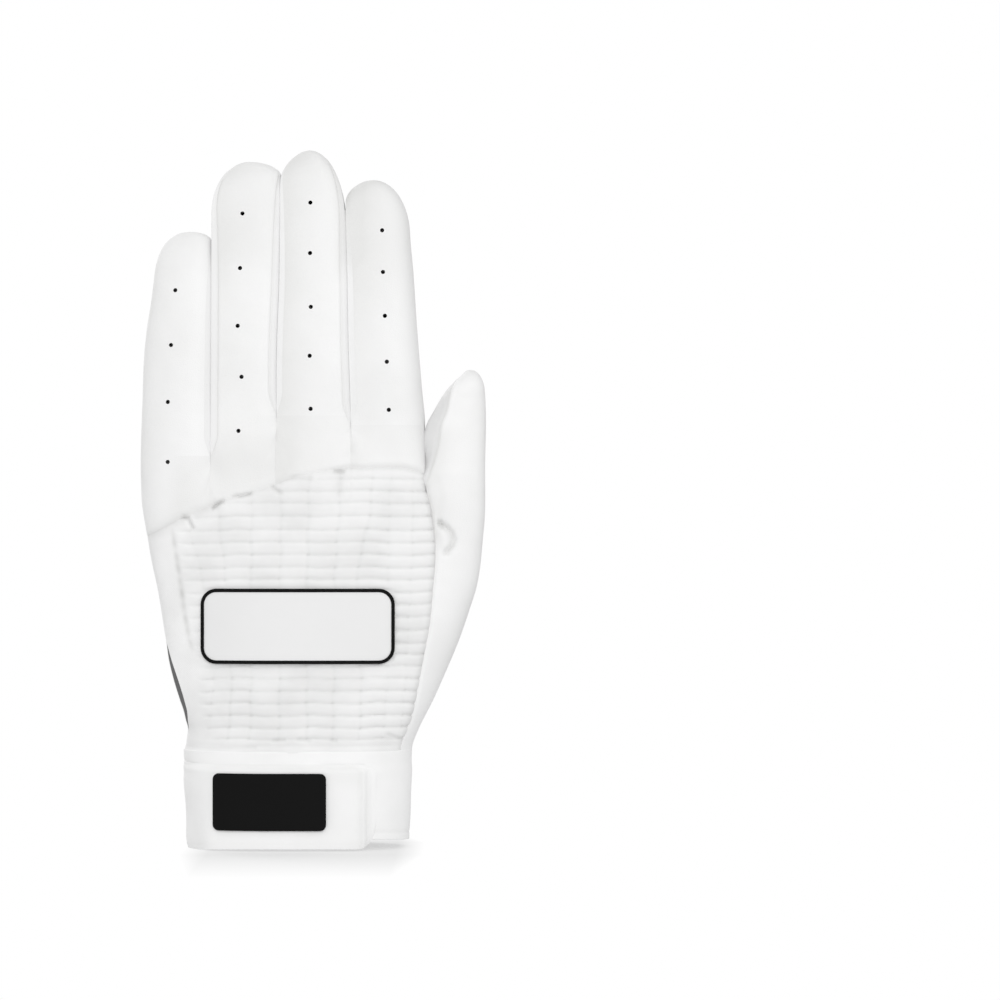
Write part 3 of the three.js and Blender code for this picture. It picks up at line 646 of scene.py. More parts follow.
# painted shade: a dark grey for the sheet in the slit, standing for the shade there
slitShadeFinish = shirrFinish | {
    "cells": 1200, "clean": grey(0.16), "dusty": grey(0.2), "rough": 0.8, "sheen": 0.1,
}
tapeFinish = {
    "cells": 700, "clean": grey(0.86), "dusty": grey(0.78), "strength": 0.9, "relief": 0.25, "rough": 0.9,
    "roughSpread": 0.05, "gloss": 0.1, "sheen": 0.3,
}
badgeFinish = {
    "cells": 2600, "clean": grey(0.8), "dusty": grey(0.74), "strength": 0.15, "relief": 0.03, "rough": 0.42,
    "roughSpread": 0.1, "gloss": 0.4, "sheen": 0,
}
blackFinish = badgeFinish | {"clean": grey(0.006), "dusty": grey(0.008), "rough": 0.6, "gloss": 0.05}

# A cloth is a wall, a material and the record's name of its slot
leather = form["leatherWall"], softMaterial("whiteLeather", grain, leatherFinish), "leather_white"
strip = form["stripWall"], softMaterial("stripLeather", grain, stripFinish), "strip_leather"
# the thumb gusset gets the darker copy of the strip leather: painted shade
gusset = form["stripWall"], softMaterial("shadedGussetLeather", grain, shadedGussetFinish), "strip_leather"
shirrMaterial = softMaterial("shirredCloth", weave, shirrFinish)
cuffMaterial = softMaterial("cuffCloth", weave, cuffFinish)
badgeMaterial = softMaterial("badgeRubber", grain, badgeFinish)
blackMaterial = softMaterial("blackRubber", grain, blackFinish)
tapeMaterial = softMaterial("hookAndLoopTape", weave, tapeFinish)
slitShadeMaterial = softMaterial("slitShade", weave, slitShadeFinish)
print("materials: made")

fingerGrid = {"columns": 44, "rowStep": 0.75, "domeRows": 22, "stripArc": 7, "stripSide": 7}


def domeHeights(f):
    angles = np.linspace(0, math.pi / 2, fingerGrid["domeRows"])
    return f["tip"] - f["dome"] + f["dome"] * np.sin(angles) ** (2 / form["domePower"])


def evenHeights(low, high):
    return np.linspace(low, high, max(2, round((high - low) / fingerGrid["rowStep"]) + 1))


def tipHeights(f, low):
    return np.concatenate([evenHeights(low, f["tip"] - f["dome"])[:-1], domeHeights(f)])


def leatherGrid(f, heights, facing):  # heights of the rows of points, or of every point
    columns = alongShares(fingerGrid["columns"])
    z = np.asarray(heights, float)
    z = z[:, None] + 0 * columns if z.ndim == 1 else z
    low, high = seamShare(f, z, 0, facing), 1 - seamShare(f, z, 1, facing)
    points = skinPoints(f, mix(low, high, columns), z, facing)
    toLeft, toRight = arcLengths(points)
    seams = np.zeros_like(z)
    for side, along in ((0, toLeft), (1, toRight)):
        onSeam = rise(z, f["webs"][side], 6) if f["strips"][side] else 1
        if f is index and side == 1:
            onSeam = rise(z, form["thumbWeb"], 10)
        seams += seamDip(along) * onSeam * (f["seams"][side] if facing < 0 else 1)
    points += inwards(f, points) * (seams * closing(f, z) ** 0.5)[..., None]
    folds = palmFolds if facing > 0 else thumbFolds
    # painted shade in the seam dips and the folds
    crease = 0.55 * clamp(seams / leatherLook["seamDepth"] + 0.8 * foldsAt(points[..., 0], z, folds))
    if facing > 0:
        return points[:, ::-1], crease[:, ::-1]
    # the backs also get painted shade beside their seams
    return points, clamp(crease + paintedSideShade(f, z, toLeft, toRight))


def paintedSideShade(f, z, toLeft, toRight):  # painted shade: the backs of the fingers are a little greyer beside their seams
    if f is thumb:
        left = 0.85 * np.exp(-toLeft / 4.5) * rise(z, 95, 10) * fall(z, 132, 8)
        return left + 0.55 * np.exp(-toRight / 6) * rise(z, 45, 20)
    low, high, whole = f["tone"]
    tone = mix(low, high, rise(z, 150, 40)) * np.exp(-toLeft / 8.5) * rise(z, 110, 18)
    tone = tone + whole * ease((z - f["tip"] + 55) / 35)
    if f is index:
        tone = tone + 0.35 * np.exp(-toRight / 5) * rise(z, 112, 12)
        tone = tone + 1.5 * np.exp(-toLeft / 2.2) * rise(z, 188, 8)
    return tone + 0.9 * np.exp(-toRight / 1.3) * rise(z, 183, 8) * (f is middle)


def stripGrid(f, heights, side):  # the strip on a finger's side, from its back seam round to its front seam
    z = np.asarray(heights, float)[:, None]
    arc = np.linspace(1, 0, fingerGrid["stripArc"])[None, :]
    parts = []
    for facing in (-1, 1):
        share = seamShare(f, z, side, facing) * arc
        share = share if side == 0 else 1 - share
        points = skinPoints(f, share, z + 0 * arc, facing)
        if f is thumb and facing < 0:
            points = mix(points[:, :1], facetFoot(z, points[:, -1:]), (1 - arc)[..., None])
        parts.append(points if facing < 0 else points[:, ::-1])
    wall = np.linspace(0, 1, fingerGrid["stripSide"])[None, 1:-1, None]
    between = mix(parts[0][:, -1:], parts[1][:, :1], wall)
    points = np.concatenate([parts[0], between, parts[1]], 1)
    toBack, toFront = arcLengths(points)
    dip = (f["seams"][side] * seamDip(toBack) + seamDip(toFront)) * rise(z, f["webs"][side], 6)
    dip = dip * closing(f, z) ** 0.5
    points = points + inwards(f, points) * dip[..., None]
    # painted shade in the seam dips
    crease = 0.55 * clamp(dip / leatherLook["seamDepth"])
    if (f is middle and side == 1) or (f is index and side == 0):  # in shade between the two finger tips
        crease = clamp(crease + 0.75 * rise(z, 184, 12))
    if side == 0:
        points, crease = points[:, ::-1], crease[:, ::-1]
    return points, crease


def facetFoot(z, edgePoints):  # inner edge of the thumb's turned strip, nearer the middle plane
    foot = edgePoints.copy()
    share = mix(0.66, 1, 1 - ease(facetWidth(z) / 3))
    foot[..., 1] = leanAt(z) - share * np.abs(foot[..., 1] - leanAt(z))
    foot[..., 0] -= 0.9 * rise(z, form["thumbWeb"], 3) * fall(z, 133, 5)
    return foot


holes = {"radius": 0.7, "depth": 7, "cutter": 14, "places": {
    "little": [(175, 290), (171, 345), (168, 402), (168, 462)],
    "ring": [(242, 213), (240, 268), (238, 326), (242, 377), (239, 431)],
    "middle": [(310, 202), (310, 253), (311, 307), (310, 356), (311, 409)],
    "index": [(382, 230), (383, 272), (385, 316), (387, 362), (389, 410)],
}}


def holePlaces(f):
    return spotsAt(holes["places"][f["name"]], holes["depth"])


def punch(obj, places):  # round holes through a leather, from the back
    low, high = Vector(obj.bound_box[0]), Vector(obj.bound_box[6])
    inside = [(x, z) for x, z in places if low.z < (z - 1) * metre and (z + 1) * metre < high.z
              and low.x < x * metre < high.x]
    cutters = []
    for x, z in inside:
        deselectAll()
        bpy.ops.mesh.primitive_cylinder_add(
            vertices=20, radius=holes["radius"] * metre, depth=holes["cutter"] * metre,
            location=(x * metre, (leanAt(z) - 11) * metre, z * metre), rotation=(math.pi / 2, 0, 0),
        )
        cutters.append(bpy.context.object)
    if cutters:
        cutter = joined(cutters, "holeCutter")
        bpy.ops.object.transform_apply(location=True, rotation=True, scale=True)
        applyModifier(obj, "BOOLEAN", object=cutter, operation="DIFFERENCE", solver="EXACT")
        bpy.data.objects.remove(cutter)


def bends(obj, lower, upper, low, high):
    smooth(obj)
    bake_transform(obj)


def stripRows(f, heights):  # the rows of a strip end at its own top
    top = stripTop(f)
    rows = heights[heights < top - 0.3]
    return np.append(rows, top) if heights[-1] > top else rows


def fingerPieces(f):
    name, split, bend = f["name"], f["split"], form["bend"]
    low, high, turnAt = name + "_lower", name + "_upper", f["knuckle"] - bend
    stretches = {
        "lower": (evenHeights(split, turnAt), "hand", low, split, f["fold"] + bend),
        "upper": (tipHeights(f, turnAt), low, high, turnAt, f["knuckle"] + bend),
    }
    for part, (heights, *stretch) in stretches.items():
        for facing, word in ((-1, "back"), (1, "front")):
            obj = sewn([leatherGrid(f, heights, facing)], leather, f"{name}_{part}_{word}")
            if facing < 0:
                punch(obj, holePlaces(f))
            bends(obj, *stretch)
        for side, word in ((0, "littleward"), (1, "thumbward")):
            if f["strips"][side]:
                grid = stripGrid(f, stripRows(f, heights), side)
                bends(sewn([grid], strip, f"{name}_{part}_strip_{word}"), *stretch)


for longFinger in longFingers:
    fingerPieces(longFinger)
print("fingers: made")


def thumbPieces():
    split = thumb["split"]
    heights = tipHeights(thumb, split)
    for grid, cloth, node in (
        (leatherGrid(thumb, heights, -1), leather, "thumb_back"),
        (leatherGrid(thumb, heights, 1), leather, "thumb_front"),
        (stripGrid(thumb, stripRows(thumb, heights), 0), gusset, "thumb_gusset"),
    ):
        bends(sewn([grid], cloth, node), "hand", "thumb", split, form["thumbBendTop"])
    heights = evenHeights(form["panelFoot"], split)
    for facing, word in ((-1, "back"), (1, "palm")):
        rideHand(sewn([leatherGrid(thumb, heights, facing)], leather, "thumb_base_" + word))


thumbPieces()
print("thumb: made")

badge = {
    "width": 62.51, "height": 24.14, "corner": 5.1, "border": 1.1, "centre": (0.6, 73.18), "seat": 0.35,
    "plateWall": 0.75, "borderWall": 1,
}
shirrTopRows = [
    (-0.99, 0.448), (-0.943, 0.45), (-0.725, 0.473), (-0.524, 0.492), (-0.32, 0.506), (-0.147, 0.519),
    (0.014, 0.532), (0.255, 0.542), (0.422, 0.544), (0.682, 0.543), (0.83, 0.535),
]
shirr = {
    "wall": 1.3, "rise": 0.95, "tuck": 1.8, "sink": 1.75, "rows": 215, "columns": 205, "slitTop": 69.5,
    "slitFoot": 37.8, "slitStep": 2.35, "depth": 14, "band": 741.5, "lineWidth": 0.42, "stitchWidth": 0.6,
    "wander": 0.25, "uneven": 0.35, "sideSeam": 0.45, "border": 0.6, "scallop": 0.5,
}
# Places in the picture: heights of the pleat lines, the upright stitch lines with their strength, the
# puckered seam beside the smooth side band, and the folds along the top seam with their width and depth
pleatRows = [
    752, 739.3, 727.7, 715.7, 703.2, 691, 678.4, 666, 654, 643, 630, 616.5, 604, 592, 579, 567, 554.5, 542,
    529.5, 516, 503, 491, 479, 467, 455,
]
stitchRows = [
    (0.6, [(186, 505), (193, 547), (201, 574), (208, 640), (213, 690), (209, 718), (207, 750)]),
    (1, [(216, 495), (220, 535), (225, 574), (229, 640), (231, 690), (229, 718), (228, 750)]),
    (1, [(253, 480), (251, 520), (251, 700), (249, 750)]), (1, [(281, 470), (280, 600), (279, 750)]),
    (1, [(310, 465), (307, 560), (307, 750)]), (1, [(340, 460), (339, 510), (335, 575), (333, 750)]),
    (0.9, [(372, 460), (370, 510), (359, 560), (357, 600), (361, 690), (358, 750)]),
    (0.4, [(391, 460), (389, 522), (387, 680), (382, 750)]),
    (0.4, [(413, 460), (411, 574), (404, 690), (398, 750)]),
]
borderRow = [
    (170, 528), (172, 540), (177.5, 575), (181, 600), (182.5, 611), (185.2, 627), (187.4, 638), (190, 648),
    (194, 670), (195, 705), (200, 726), (204, 740), (206, 750),
]
topFolds = [
    ([(150, 534.5), (166, 527), (180, 521)], 2, 0.55),
    ([(182, 517.5), (187.5, 518.5), (192.5, 528)], 0.55, 1.1),
    ([(196, 516), (206, 509.5), (215, 506)], 1.5, 0.4),
    ([(213, 508), (217, 504.5), (222, 501.5)], 0.55, 1.3),
    ([(234.5, 496.5), (242, 496), (250, 494)], 0.5, 1), ([(273, 487.5), (281, 493)], 0.6, 0.7),
    ([(293, 478), (311, 478.5)], 0.8, 0.4), ([(335, 471.5), (343, 472)], 0.6, 1),
    ([(340, 474), (339, 494)], 1.4, 0.4), ([(274, 740), (284, 739.5)], 0.6, 0.5),
    ([(299, 739), (309, 740)], 0.6, 0.5), ([(333, 740), (336, 740)], 0.6, 0.5),
    ([(388, 734), (405, 742)], 0.6, 0.5), ([(186, 748), (215, 748.5), (255, 747)], 0.5, 0.3),
]


def heightAt(py):  # height of a place in the picture
    return spotAt(0, py, shirr["depth"])[1]


def heightRows(places):  # rows of (height, place across) from places in the picture
    return sorted((z, x) for x, z in spotsAt(places, shirr["depth"]))


pleatLines = np.array([heightAt(py) for py in pleatRows])
stitchLines = [(strength, heightRows(places)) for strength, places in stitchRows]
borderLine = heightRows(borderRow)
seamFolds = [(spotsAt(places), width, depth) for places, width, depth in topFolds]


def shirrTop(x):
    return form["gloveLength"] * through(shirrTopRows, x / form["edgeReach"])


def topSeamDepth(x):  # the seam is pulled flat over the knuckles and is crisp near the index finger
    return through([(-60, 0.35), (-40, 0.3), (-12, 0.25), (8, 0.35), (16, 0.6), (45, 0.65)], x)


def shirrLeft(z):
    share = clamp((z - shirr["slitFoot"]) / (shirr["slitTop"] - shirr["slitFoot"]))
    return littleEdge(z) + 0.05 + shirr["slitStep"] * np.sin(math.pi * share**0.88)


def onBack(x, z, lift=0):  # a point on the back of the hand
    fields = [skinDepth(f, x, z, -1) for f in longFingers]
    depth = np.select([x <= littleRing(z), x <= ringMiddle(z), x <= middleIndex(z)], fields[:3], fields[3])
    return spots(x, leanAt(z) - depth - lift, z)


def underBadge(x, z):  # 1 under the badge, where the cloth lies flat
    across = badge["width"] / 2 + 0.2 - np.abs(x - badge["centre"][0])
    up = badge["height"] / 2 + 0.2 - np.abs(z - badge["centre"][1])
    return ease(across / 1.2) * ease(up / 1.2)


def pleatLift(x, z, top):
    inside, wide = x - through(borderLine, z), shirr["lineWidth"]
    held = ease(inside / 4) * ease((z - heightAt(shirr["band"])) / 1.2) * (1 - underBadge(x, z))
    wander, stitch = shirr["wander"] * np.sin(z / 2.1), shirr["stitchWidth"]
    near = sum(strength * hump(x - through(rows, z) - wander, stitch) for strength, rows in stitchLines)
    cell = sum((x > through(rows, z)).astype(float) for _, rows in stitchLines)
    shifted = z + 0.28 * ripple(x, z * 0.2, 21, 16) + 0.1 * ripple(x, z, 22, 5) + 0.6 * fall(x, -31, 12)
    row = np.clip(np.searchsorted(pleatLines, shifted) - 1, 0, len(pleatLines) - 2)
    low, high = shifted - pleatLines[row], pleatLines[row + 1] - shifted
    lines = np.maximum(0.9 * hump(low, wide), hump(high, wide))
    uneven = 0.5 + 0.5 * np.sin(row * 12.9898 + cell * 78.233)
    strength = 0.55 + shirr["uneven"] * uneven + 0.35 * rise(x, 10, 22) + 0.2 * ease((60 - z) / 12)
    strength = strength * held * mix(0.35, 1, rise(top, z, 6))
    strength = strength * (1 - 0.6 * hump(z - badge["centre"][1] + 14.3, 1.6))
    body = (0.62 + 0.38 * low / (low + high)) * (1 - lines)
    body = body * (1 - 0.35 * np.maximum(hump(low, 1.1), hump(high, 1.1)))
    lift = shirr["rise"] * strength * (body - 0.35) - 0.1 * near * held
    # painted shade in the pleat lines and along the stitch lines
    dark = clamp(lines * (0.45 + 0.75 * near)) * strength + 0.12 * near * held * (1 - lines)
    return lift, 0.75 * dark, inside


def shirredPanel():
    share, bottom, sink = alongShares(shirr["columns"]), form["panelFoot"], shirr["sink"]
    across, up = mix(share, roundShare(share), 0.5), upShares(shirr["rows"])
    z = mix(bottom, 110, up) + 0 * across
    for _ in range(5):  # the top row ends on the top seam
        x = mix(shirrLeft(z), thumbGroove(z) + 0.45, across)
        top = shirrTop(x)
        z = mix(bottom, top + shirr["tuck"], up)
    lift, crease, inside = pleatLift(x, z, top)
    fromLeft, fromRight = x - shirrLeft(z), thumbGroove(z) - x
    slit, folds = shirrLeft(z) - littleEdge(z), foldsAt(x, z, seamFolds)
    scallop = clamp(crease) * hump(fromRight, 2.2)
    topSeam, rightSeam = hump(top - z, 0.8), hump(fromRight, 0.9)
    border = hump(inside, 0.9) * (0.4 + 0.2 * np.sin(z / 0.9) * np.sin(z / 2.3))
    border = border * ease((106 - z) / 6) * rise(z, 64, 5)
    lift = lift + 0.1 * ripple(x, z, 25, 18)
    lift -= topSeamDepth(x) * topSeam + shirr["sideSeam"] * rightSeam
    lift -= shirr["border"] * border + shirr["scallop"] * scallop
    lift -= folds + 0.3 * hump(z - 34.6, 0.7)
    lift += 0.6 * slit * np.exp(-fromLeft / 2)  # the slit's raised edge
    lift = mix(lift, -sink, rise(z, top, 0.9))
    lift = mix(lift, -sink - 0.9 * rise(z, 100, 5), ease(-fromRight / 0.45))
    # painted shade in the pleats, seams, border and folds, a little over the inner panel, and in a soft
    # patch low in the middle
    dark = 0.8 * crease + 0.45 * topSeam * topSeamDepth(x) + 0.35 * rightSeam + 1.2 * border
    dark = clamp(dark + 0.5 * folds + 0.15 * ease(inside / 12) + 0.25 * scallop)
    dark = clamp(dark + 0.2 * hump(x + 5, 12) * hump(z - 46, 7))
    points = onBack(x, z, lift)
    shut = clamp(1 - (slit - 0.05) / 0.4)  # above and below the slit the panel meets the palm
    points[..., 1] += 0.5 * shut * (1 - ease(fromLeft))
    cloth = shirr["wall"], shirrMaterial, "shirred_elastic"
    rideHand(sewn([(points, dark)], cloth, "shirred_back"), 80)


shirredPanel()
print("shirred panel: made")


# Knuckle yoke and palm: each finger's root down to a lower edge
def rootHeights(f, facing, lowest, lowCount):
    web, columns = form["lowWeb"], np.linspace(0, 1, fingerGrid["columns"])
    start = np.full_like(columns, web)
    for _ in range(4):
        low, high = seamShare(f, start, 0, facing), 1 - seamShare(f, start, 1, facing)
        start = lowest(xAt(f, mix(low, high, columns), start))
    lower = mix(start[None, :], web, upShares(lowCount)[:-1])
    starts = {height for other in longFingers for height in (*other["webs"], other["split"])}
    stops = sorted(height for height in starts if height >= web)  # where a neighbour's leather starts
    upper = [web]
    for low, high in zip(stops, stops[1:]):
        if high <= f["split"]:
            upper += list(evenHeights(low, high)[1:])
    return np.concatenate([lower, np.array(upper)[:, None] + 0 * columns[None, :]], 0)


def yokeGrid(f):
    z = rootHeights(f, -1, shirrTop, 22)
    points, crease = leatherGrid(f, z, -1)
    x, edge = points[..., 0], z - shirrTop(points[..., 0])
    folds = foldsAt(x, z, seamFolds) * ease((142 - z) / 10)
    # painted shade: a greyer band above the top seam on the little-finger side, and shade in the seam and
    # its folds
    low = 0.4 * fall(edge, 12, 16) * rise(x, -44, 8) * (1 - 0.6 * rise(x, -4, 8))
    points[..., 1] += topSeamDepth(x) * (hump(edge, 0.8) - 0.35 * hump(edge - 2.1, 1)) + folds
    return points, clamp(crease + low + 0.35 * hump(edge, 0.6) * topSeamDepth(x) + 0.5 * folds)


# How far the palm leather's edge is rolled in where it meets the thumb's leather
palmRollRows = [(64, 0), (72, 0.7), (80, 1.4), (90, 2.5), (100, 3.1), (111, 3.3), (116, 1), (119, 0)]


def palmGrid(f):
    points, crease = leatherGrid(f, rootHeights(f, 1, lambda x: form["panelFoot"] + 0 * x, 118), 1)
    if f is index:
        x, z = points[..., 0], points[..., 2]
        points[..., 1] -= through(palmRollRows, z) * np.exp(-(((thumbGroove(z) - x) / 1.7) ** 2))
    return points, crease


def handLeathers():
    yoke = sewn([yokeGrid(f) for f in longFingers], leather, "knuckle_yoke")
    punch(yoke, holePlaces(little) + holePlaces(ring))
    rideHand(yoke)
    rideHand(sewn([palmGrid(f) for f in longFingers], leather, "palm", "palmLeather"))


handLeathers()
print("yoke and palm: made")


# Web gussets: the two strips that meet at the foot of a finger gap
def webPieces():
    pairs = {"little_ring": (little, ring), "ring_middle": (ring, middle), "middle_index": (middle, index)}
    for word, (first, second) in pairs.items():
        web = first["webs"][1]
        grids = [stripGrid(f, evenHeights(web, f["split"]), side) for f, side in ((first, 1), (second, 0))]
        rideHand(sewn(grids, strip, "web_" + word))
    web = form["thumbWeb"]
    z = evenHeights(web, 137.5)[:, None]
    back, front = (skinPoints(index, 1 + 0 * z, z, facing) for facing in (-1, 1))
    side = mix(back, front, alongShares(9)[..., None])
    # the index's side of the thumb web is greyed all over with painted shade
    grids = [(side, 0.3), stripGrid(thumb, evenHeights(web, thumb["split"]), 0)]
    rideHand(sewn(grids, strip, "web_thumb"))


webPieces()
print("webs: made")

# Cuff, strap and pads round the wrist
wrist = {
    "cuffWall": 1.8, "strapWall": 1.4, "tapeWall": 0.45, "cuffFace": 0.3, "slitStart": 0.008,
    "strapBottom": 0.15, "strapTop": 29, "strapEnd": 25.4, "strapRoot": 28, "strapCorner": 7.2,
    "endSeams": (3.25, 5.5), "rim": 2.4, "hem": 1.6, "cuffLow": 3.4, "cuffSeam": 2.6, "tapeInset": 2.5,
    "hookLength": 30, "loopLength": 40, "padEnd": 18.5, "height": 30, "rows": 49, "round": 0.3,
    "thinShare": 0.29,
}
# How far the wrist is drawn in under the strap, on the little-finger side
drawnInRows = [
    (0, 3.25), (2, 3.15), (4.9, 2.93), (9.75, 2.78), (16.25, 2.43), (22.75, 2), (26.5, 1.95), (28, 1.1),
    (29, 0.45), (30, 0.1), (31, 0), (40, 0),
]
wristLeft, wristRight = float(littleEdge(wrist["height"])), float(thumbEdge(wrist["height"]))


def wristSpot(share, lift, facing):  # share runs from the little-finger side (0) to the thumb side (1)
    x = mix(wristLeft - lift, wristRight + lift, roundShare(share))
    rows = backDepthRows if facing < 0 else palmDepthRows
    return x, facing * handDepthAt(x, wrist["height"] + 0 * x, rows, lift)


def wristShare(x):
    return math.acos(1 - 2 * (x - wristLeft) / (wristRight - wristLeft)) / math.pi


def drawnIn(x, z):  # the wrist is drawn in under the strap on one side and tapers down on the other
    left = fall(x, wristLeft, 12)
    right = ease((x - wristRight + 12) / 12)
    return x + left * through(drawnInRows, z) + (0.04 * (z - 18) - 0.35) * right


def strapLift(share):  # the strap climbs over its pads, and its free end comes down on the cuff
    down = ease((share - wristShare(17.5)) / (wristShare(wrist["strapEnd"] - 0.8) - wristShare(17.5)))
    return mix(mix(0.6, 1.75, ease(share / wristShare(-9))), -0.85, down)


def cuffPieces():
    for facing, word in ((-1, "back"), (1, "palm")):
        shares = np.linspace(wrist["slitStart"], 1, 120)
        x, y = wristSpot(shares, 0, facing)
        low = wrist["cuffLow"] + 0.09 * np.abs(y) * (facing < 0) + 0.2 * hump(x - wristRight, 1)
        z = mix(low, form["cuffTop"], upShares(wrist["rows"]))
        lift = mix(wrist["cuffFace"], 0.05, rise(z, 26, 3)) + 0.14 * ripple(x[None, :], z, 31, 20)
        lift = lift - 0.2 * hump(z - low - wrist["cuffSeam"], 0.4)
        out = (x[None, :] - (wristLeft + wristRight) / 2) / (wristRight - wristLeft) * 2
        points = spots(drawnIn(x + 0 * z, z) + lift * out**5, y + facing * lift * (1 - out**6), z)
        # painted shade in the groove of the cuff's seam
        crease = 0.25 * hump(z - low - wrist["cuffSeam"], 0.5)
        if facing > 0:
            points, crease = points[:, ::-1], crease[:, ::-1]
        obj = joined([gridPiece(points, crease)], titled("cuff_" + word))
        mergeDoubles(obj)
        thicken(obj, wrist["cuffWall"])
        roundEdges(obj, wrist["round"])
        dress(obj, cuffMaterial)
        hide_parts("cuff_" + word)
        rideHand(obj)


cuffPieces()


def strapPath():  # the strap's line round the wrist, from its root on the palm half to its free end
    rootShare, endShare = wristShare(wristLeft + wrist["strapRoot"]), wristShare(wrist["strapEnd"])
    palmShares = np.linspace(rootShare, 0, 60)
    backShares = np.linspace(0, endShare, 120)[1:]
    px, py = wristSpot(palmShares, 0.6 + wrist["strapWall"], 1)
    bx, by = wristSpot(backShares, strapLift(backShares) + wrist["strapWall"], -1)
    base = np.concatenate([0.6 + 0 * px, strapLift(backShares)])
    return np.stack([np.concatenate([px, bx]), np.concatenate([py, by]), base], 1)


def strapGrid():  # points, crease and wall of the strap, and the column where its two pieces meet
    line = strapPath()
    along = np.concatenate([[0], np.cumsum(np.linalg.norm(np.diff(line[:, :2], axis=0), axis=1))])
    turning, total = along[np.argmin(np.abs(line[:, 1] - 2))], along[-1]
    outer, inner = wrist["endSeams"]
    seam = total - inner
    stations = np.concatenate([np.linspace(0, seam, 160), np.linspace(seam, total, 26)[1:]])
    cut = int(np.argmin(np.abs(stations - turning)))
    stations[cut] = turning
    x, y, base = (np.interp(stations, along, line[:, i]) for i in range(3))
    normal = np.stack([np.gradient(y), -np.gradient(x)], 1)
    normal /= np.linalg.norm(normal, axis=1, keepdims=True)
    past = clamp((stations - total + wrist["strapCorner"]) / wrist["strapCorner"])
    corner = wrist["strapCorner"] * (1 - np.sqrt(1 - np.minimum(past, 0.998) ** 2))
    low = wrist["strapBottom"] + 0.0947 * np.maximum(0, -y) + corner + 1.5 * hump(y, 3)
    high = wrist["strapTop"] - 0.4 * corner
    z = mix(low, high, upShares(wrist["rows"]))
    fromEnd = total - stations[None, :]
    stitched = hump(fromEnd - outer, 0.5) + hump(fromEnd - inner, 0.45)
    edgeLine = hump(z - low - 1.8, 0.4)
    lift = 0.16 * ripple(stations[None, :], z, 41, 17)
    lift = lift - 0.08 * stitched + 0.1 * hump(fromEnd - 4.4, 1.1) - 0.08 * edgeLine
    closed = ease((z - high + wrist["rim"]) / wrist["rim"])
    lift = lift - (base + 0.85) * closed - 0.3 * ease((low + wrist["hem"] - z) / wrist["hem"])
    points = spots(drawnIn(x + normal[:, 0] * lift, z), y + normal[:, 1] * lift, z)
    thin = np.maximum(closed, ease((4 - fromEnd) / 4))
    # painted shade in the stitch and edge grooves; the tone greys the strap's middle, more towards its top
    tone = 0.4 * ease((stations - turning - 14) / 14) * rise(fromEnd, 4, 3) * mix(0.3, 1, rise(z, 19, 6))
    return points, clamp(0.1 * stitched + 0.15 * edgeLine + tone) + 0 * z, 1 - thin, cut


def strapPieces():
    points, crease, wall, cut = strapGrid()
    for name, columns, node in (
        ("strapBase", slice(0, cut + 1), "strap_base"), ("wristStrap", slice(cut, None), "strap"),
    ):
        obj = gridPiece(points[:, columns], crease[:, columns])
        obj.name = obj.data.name = name
        group = obj.vertex_groups.new(name="wall")
        for i, weight in enumerate(wall[:, columns].ravel().tolist()):
            group.add([i], weight, "REPLACE")
        thicken(obj, wrist["strapWall"], vertex_group="wall", thickness_vertex_group=wrist["thinShare"])
        roundEdges(obj, wrist["round"])
        dress(obj, cuffMaterial)
        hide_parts(node)
        if node == "strap":
            smooth(obj)
            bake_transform(obj)
        else:
            rideHand(obj)


strapPieces()
print("cuff and strap: made")


# Plates: a flat plate with round corners, cut into strips and laid on a surface
def flatPlate(name, width, height, corner, inset=0, ring=0):
    deselectAll()
    bpy.ops.mesh.primitive_plane_add(size=1)
    obj = bpy.context.object
    obj.name = obj.data.name = name
    obj.scale = ((width - 2 * inset) * metre, (height - 2 * inset) * metre, 1)
    bpy.ops.object.transform_apply(location=True, rotation=True, scale=True)
    bpy.ops.object.mode_set(mode="EDIT")
    bpy.ops.mesh.select_all(action="SELECT")
    bpy.ops.mesh.bevel(offset=(corner - inset) * metre, segments=8, affect="VERTICES")
    if ring:
        bpy.ops.mesh.select_all(action="SELECT")
        bpy.ops.mesh.inset(thickness=ring * metre)
        bpy.ops.mesh.delete(type="FACE")
    for normal, size, start, step in (((1, 0, 0), width, 1, 1.6), ((0, 1, 0), height, 1.3, 2.4)):
        for place in np.arange(-size / 2 + start, size / 2, step):
            bpy.ops.mesh.select_all(action="SELECT")
            bpy.ops.mesh.bisect(plane_co=[place * metre * n for n in normal], plane_no=normal)
    bpy.ops.object.mode_set(mode="OBJECT")
    return obj


def layPlate(obj, wall, bevel, centre, surface):  # surface gives a point for a place, a height and a lift
    applyModifier(obj, "SOLIDIFY", thickness=wall * metre, offset=1)
    roundEdges(obj, bevel)
    co = np.zeros(len(obj.data.vertices) * 3)
    obj.data.vertices.foreach_get("co", co)
    co = co.reshape(-1, 3) / metre
    points = surface(co[:, 0] + centre[0], co[:, 1] + centre[1], co[:, 2])
    obj.data.vertices.foreach_set("co", (points * metre).ravel())
    markCrease(obj, np.zeros(len(points)))
    smooth(obj, 50)


patch = {"width": 36.47, "height": 18.27, "corner": 1.95, "centre": (-8.19, 17.09), "wall": 1.1}


def onBadge(x, z, lift):
    return onBack(x, z, lift + badge["seat"])


def badgePieces():
    ring = flatPlate("badgeBorder", badge["width"], badge["height"], badge["corner"], ring=badge["border"])
    layPlate(ring, badge["borderWall"], 0.35, badge["centre"], onBadge)
    plate = flatPlate("badgePlate", badge["width"], badge["height"], badge["corner"], inset=badge["border"])
    layPlate(plate, badge["plateWall"], 0.12, badge["centre"], onBadge)
    fit(ring, blackMaterial, "badge_border", "hand")
    fit(plate, badgeMaterial, "badge_plate", "hand")


badgePieces()


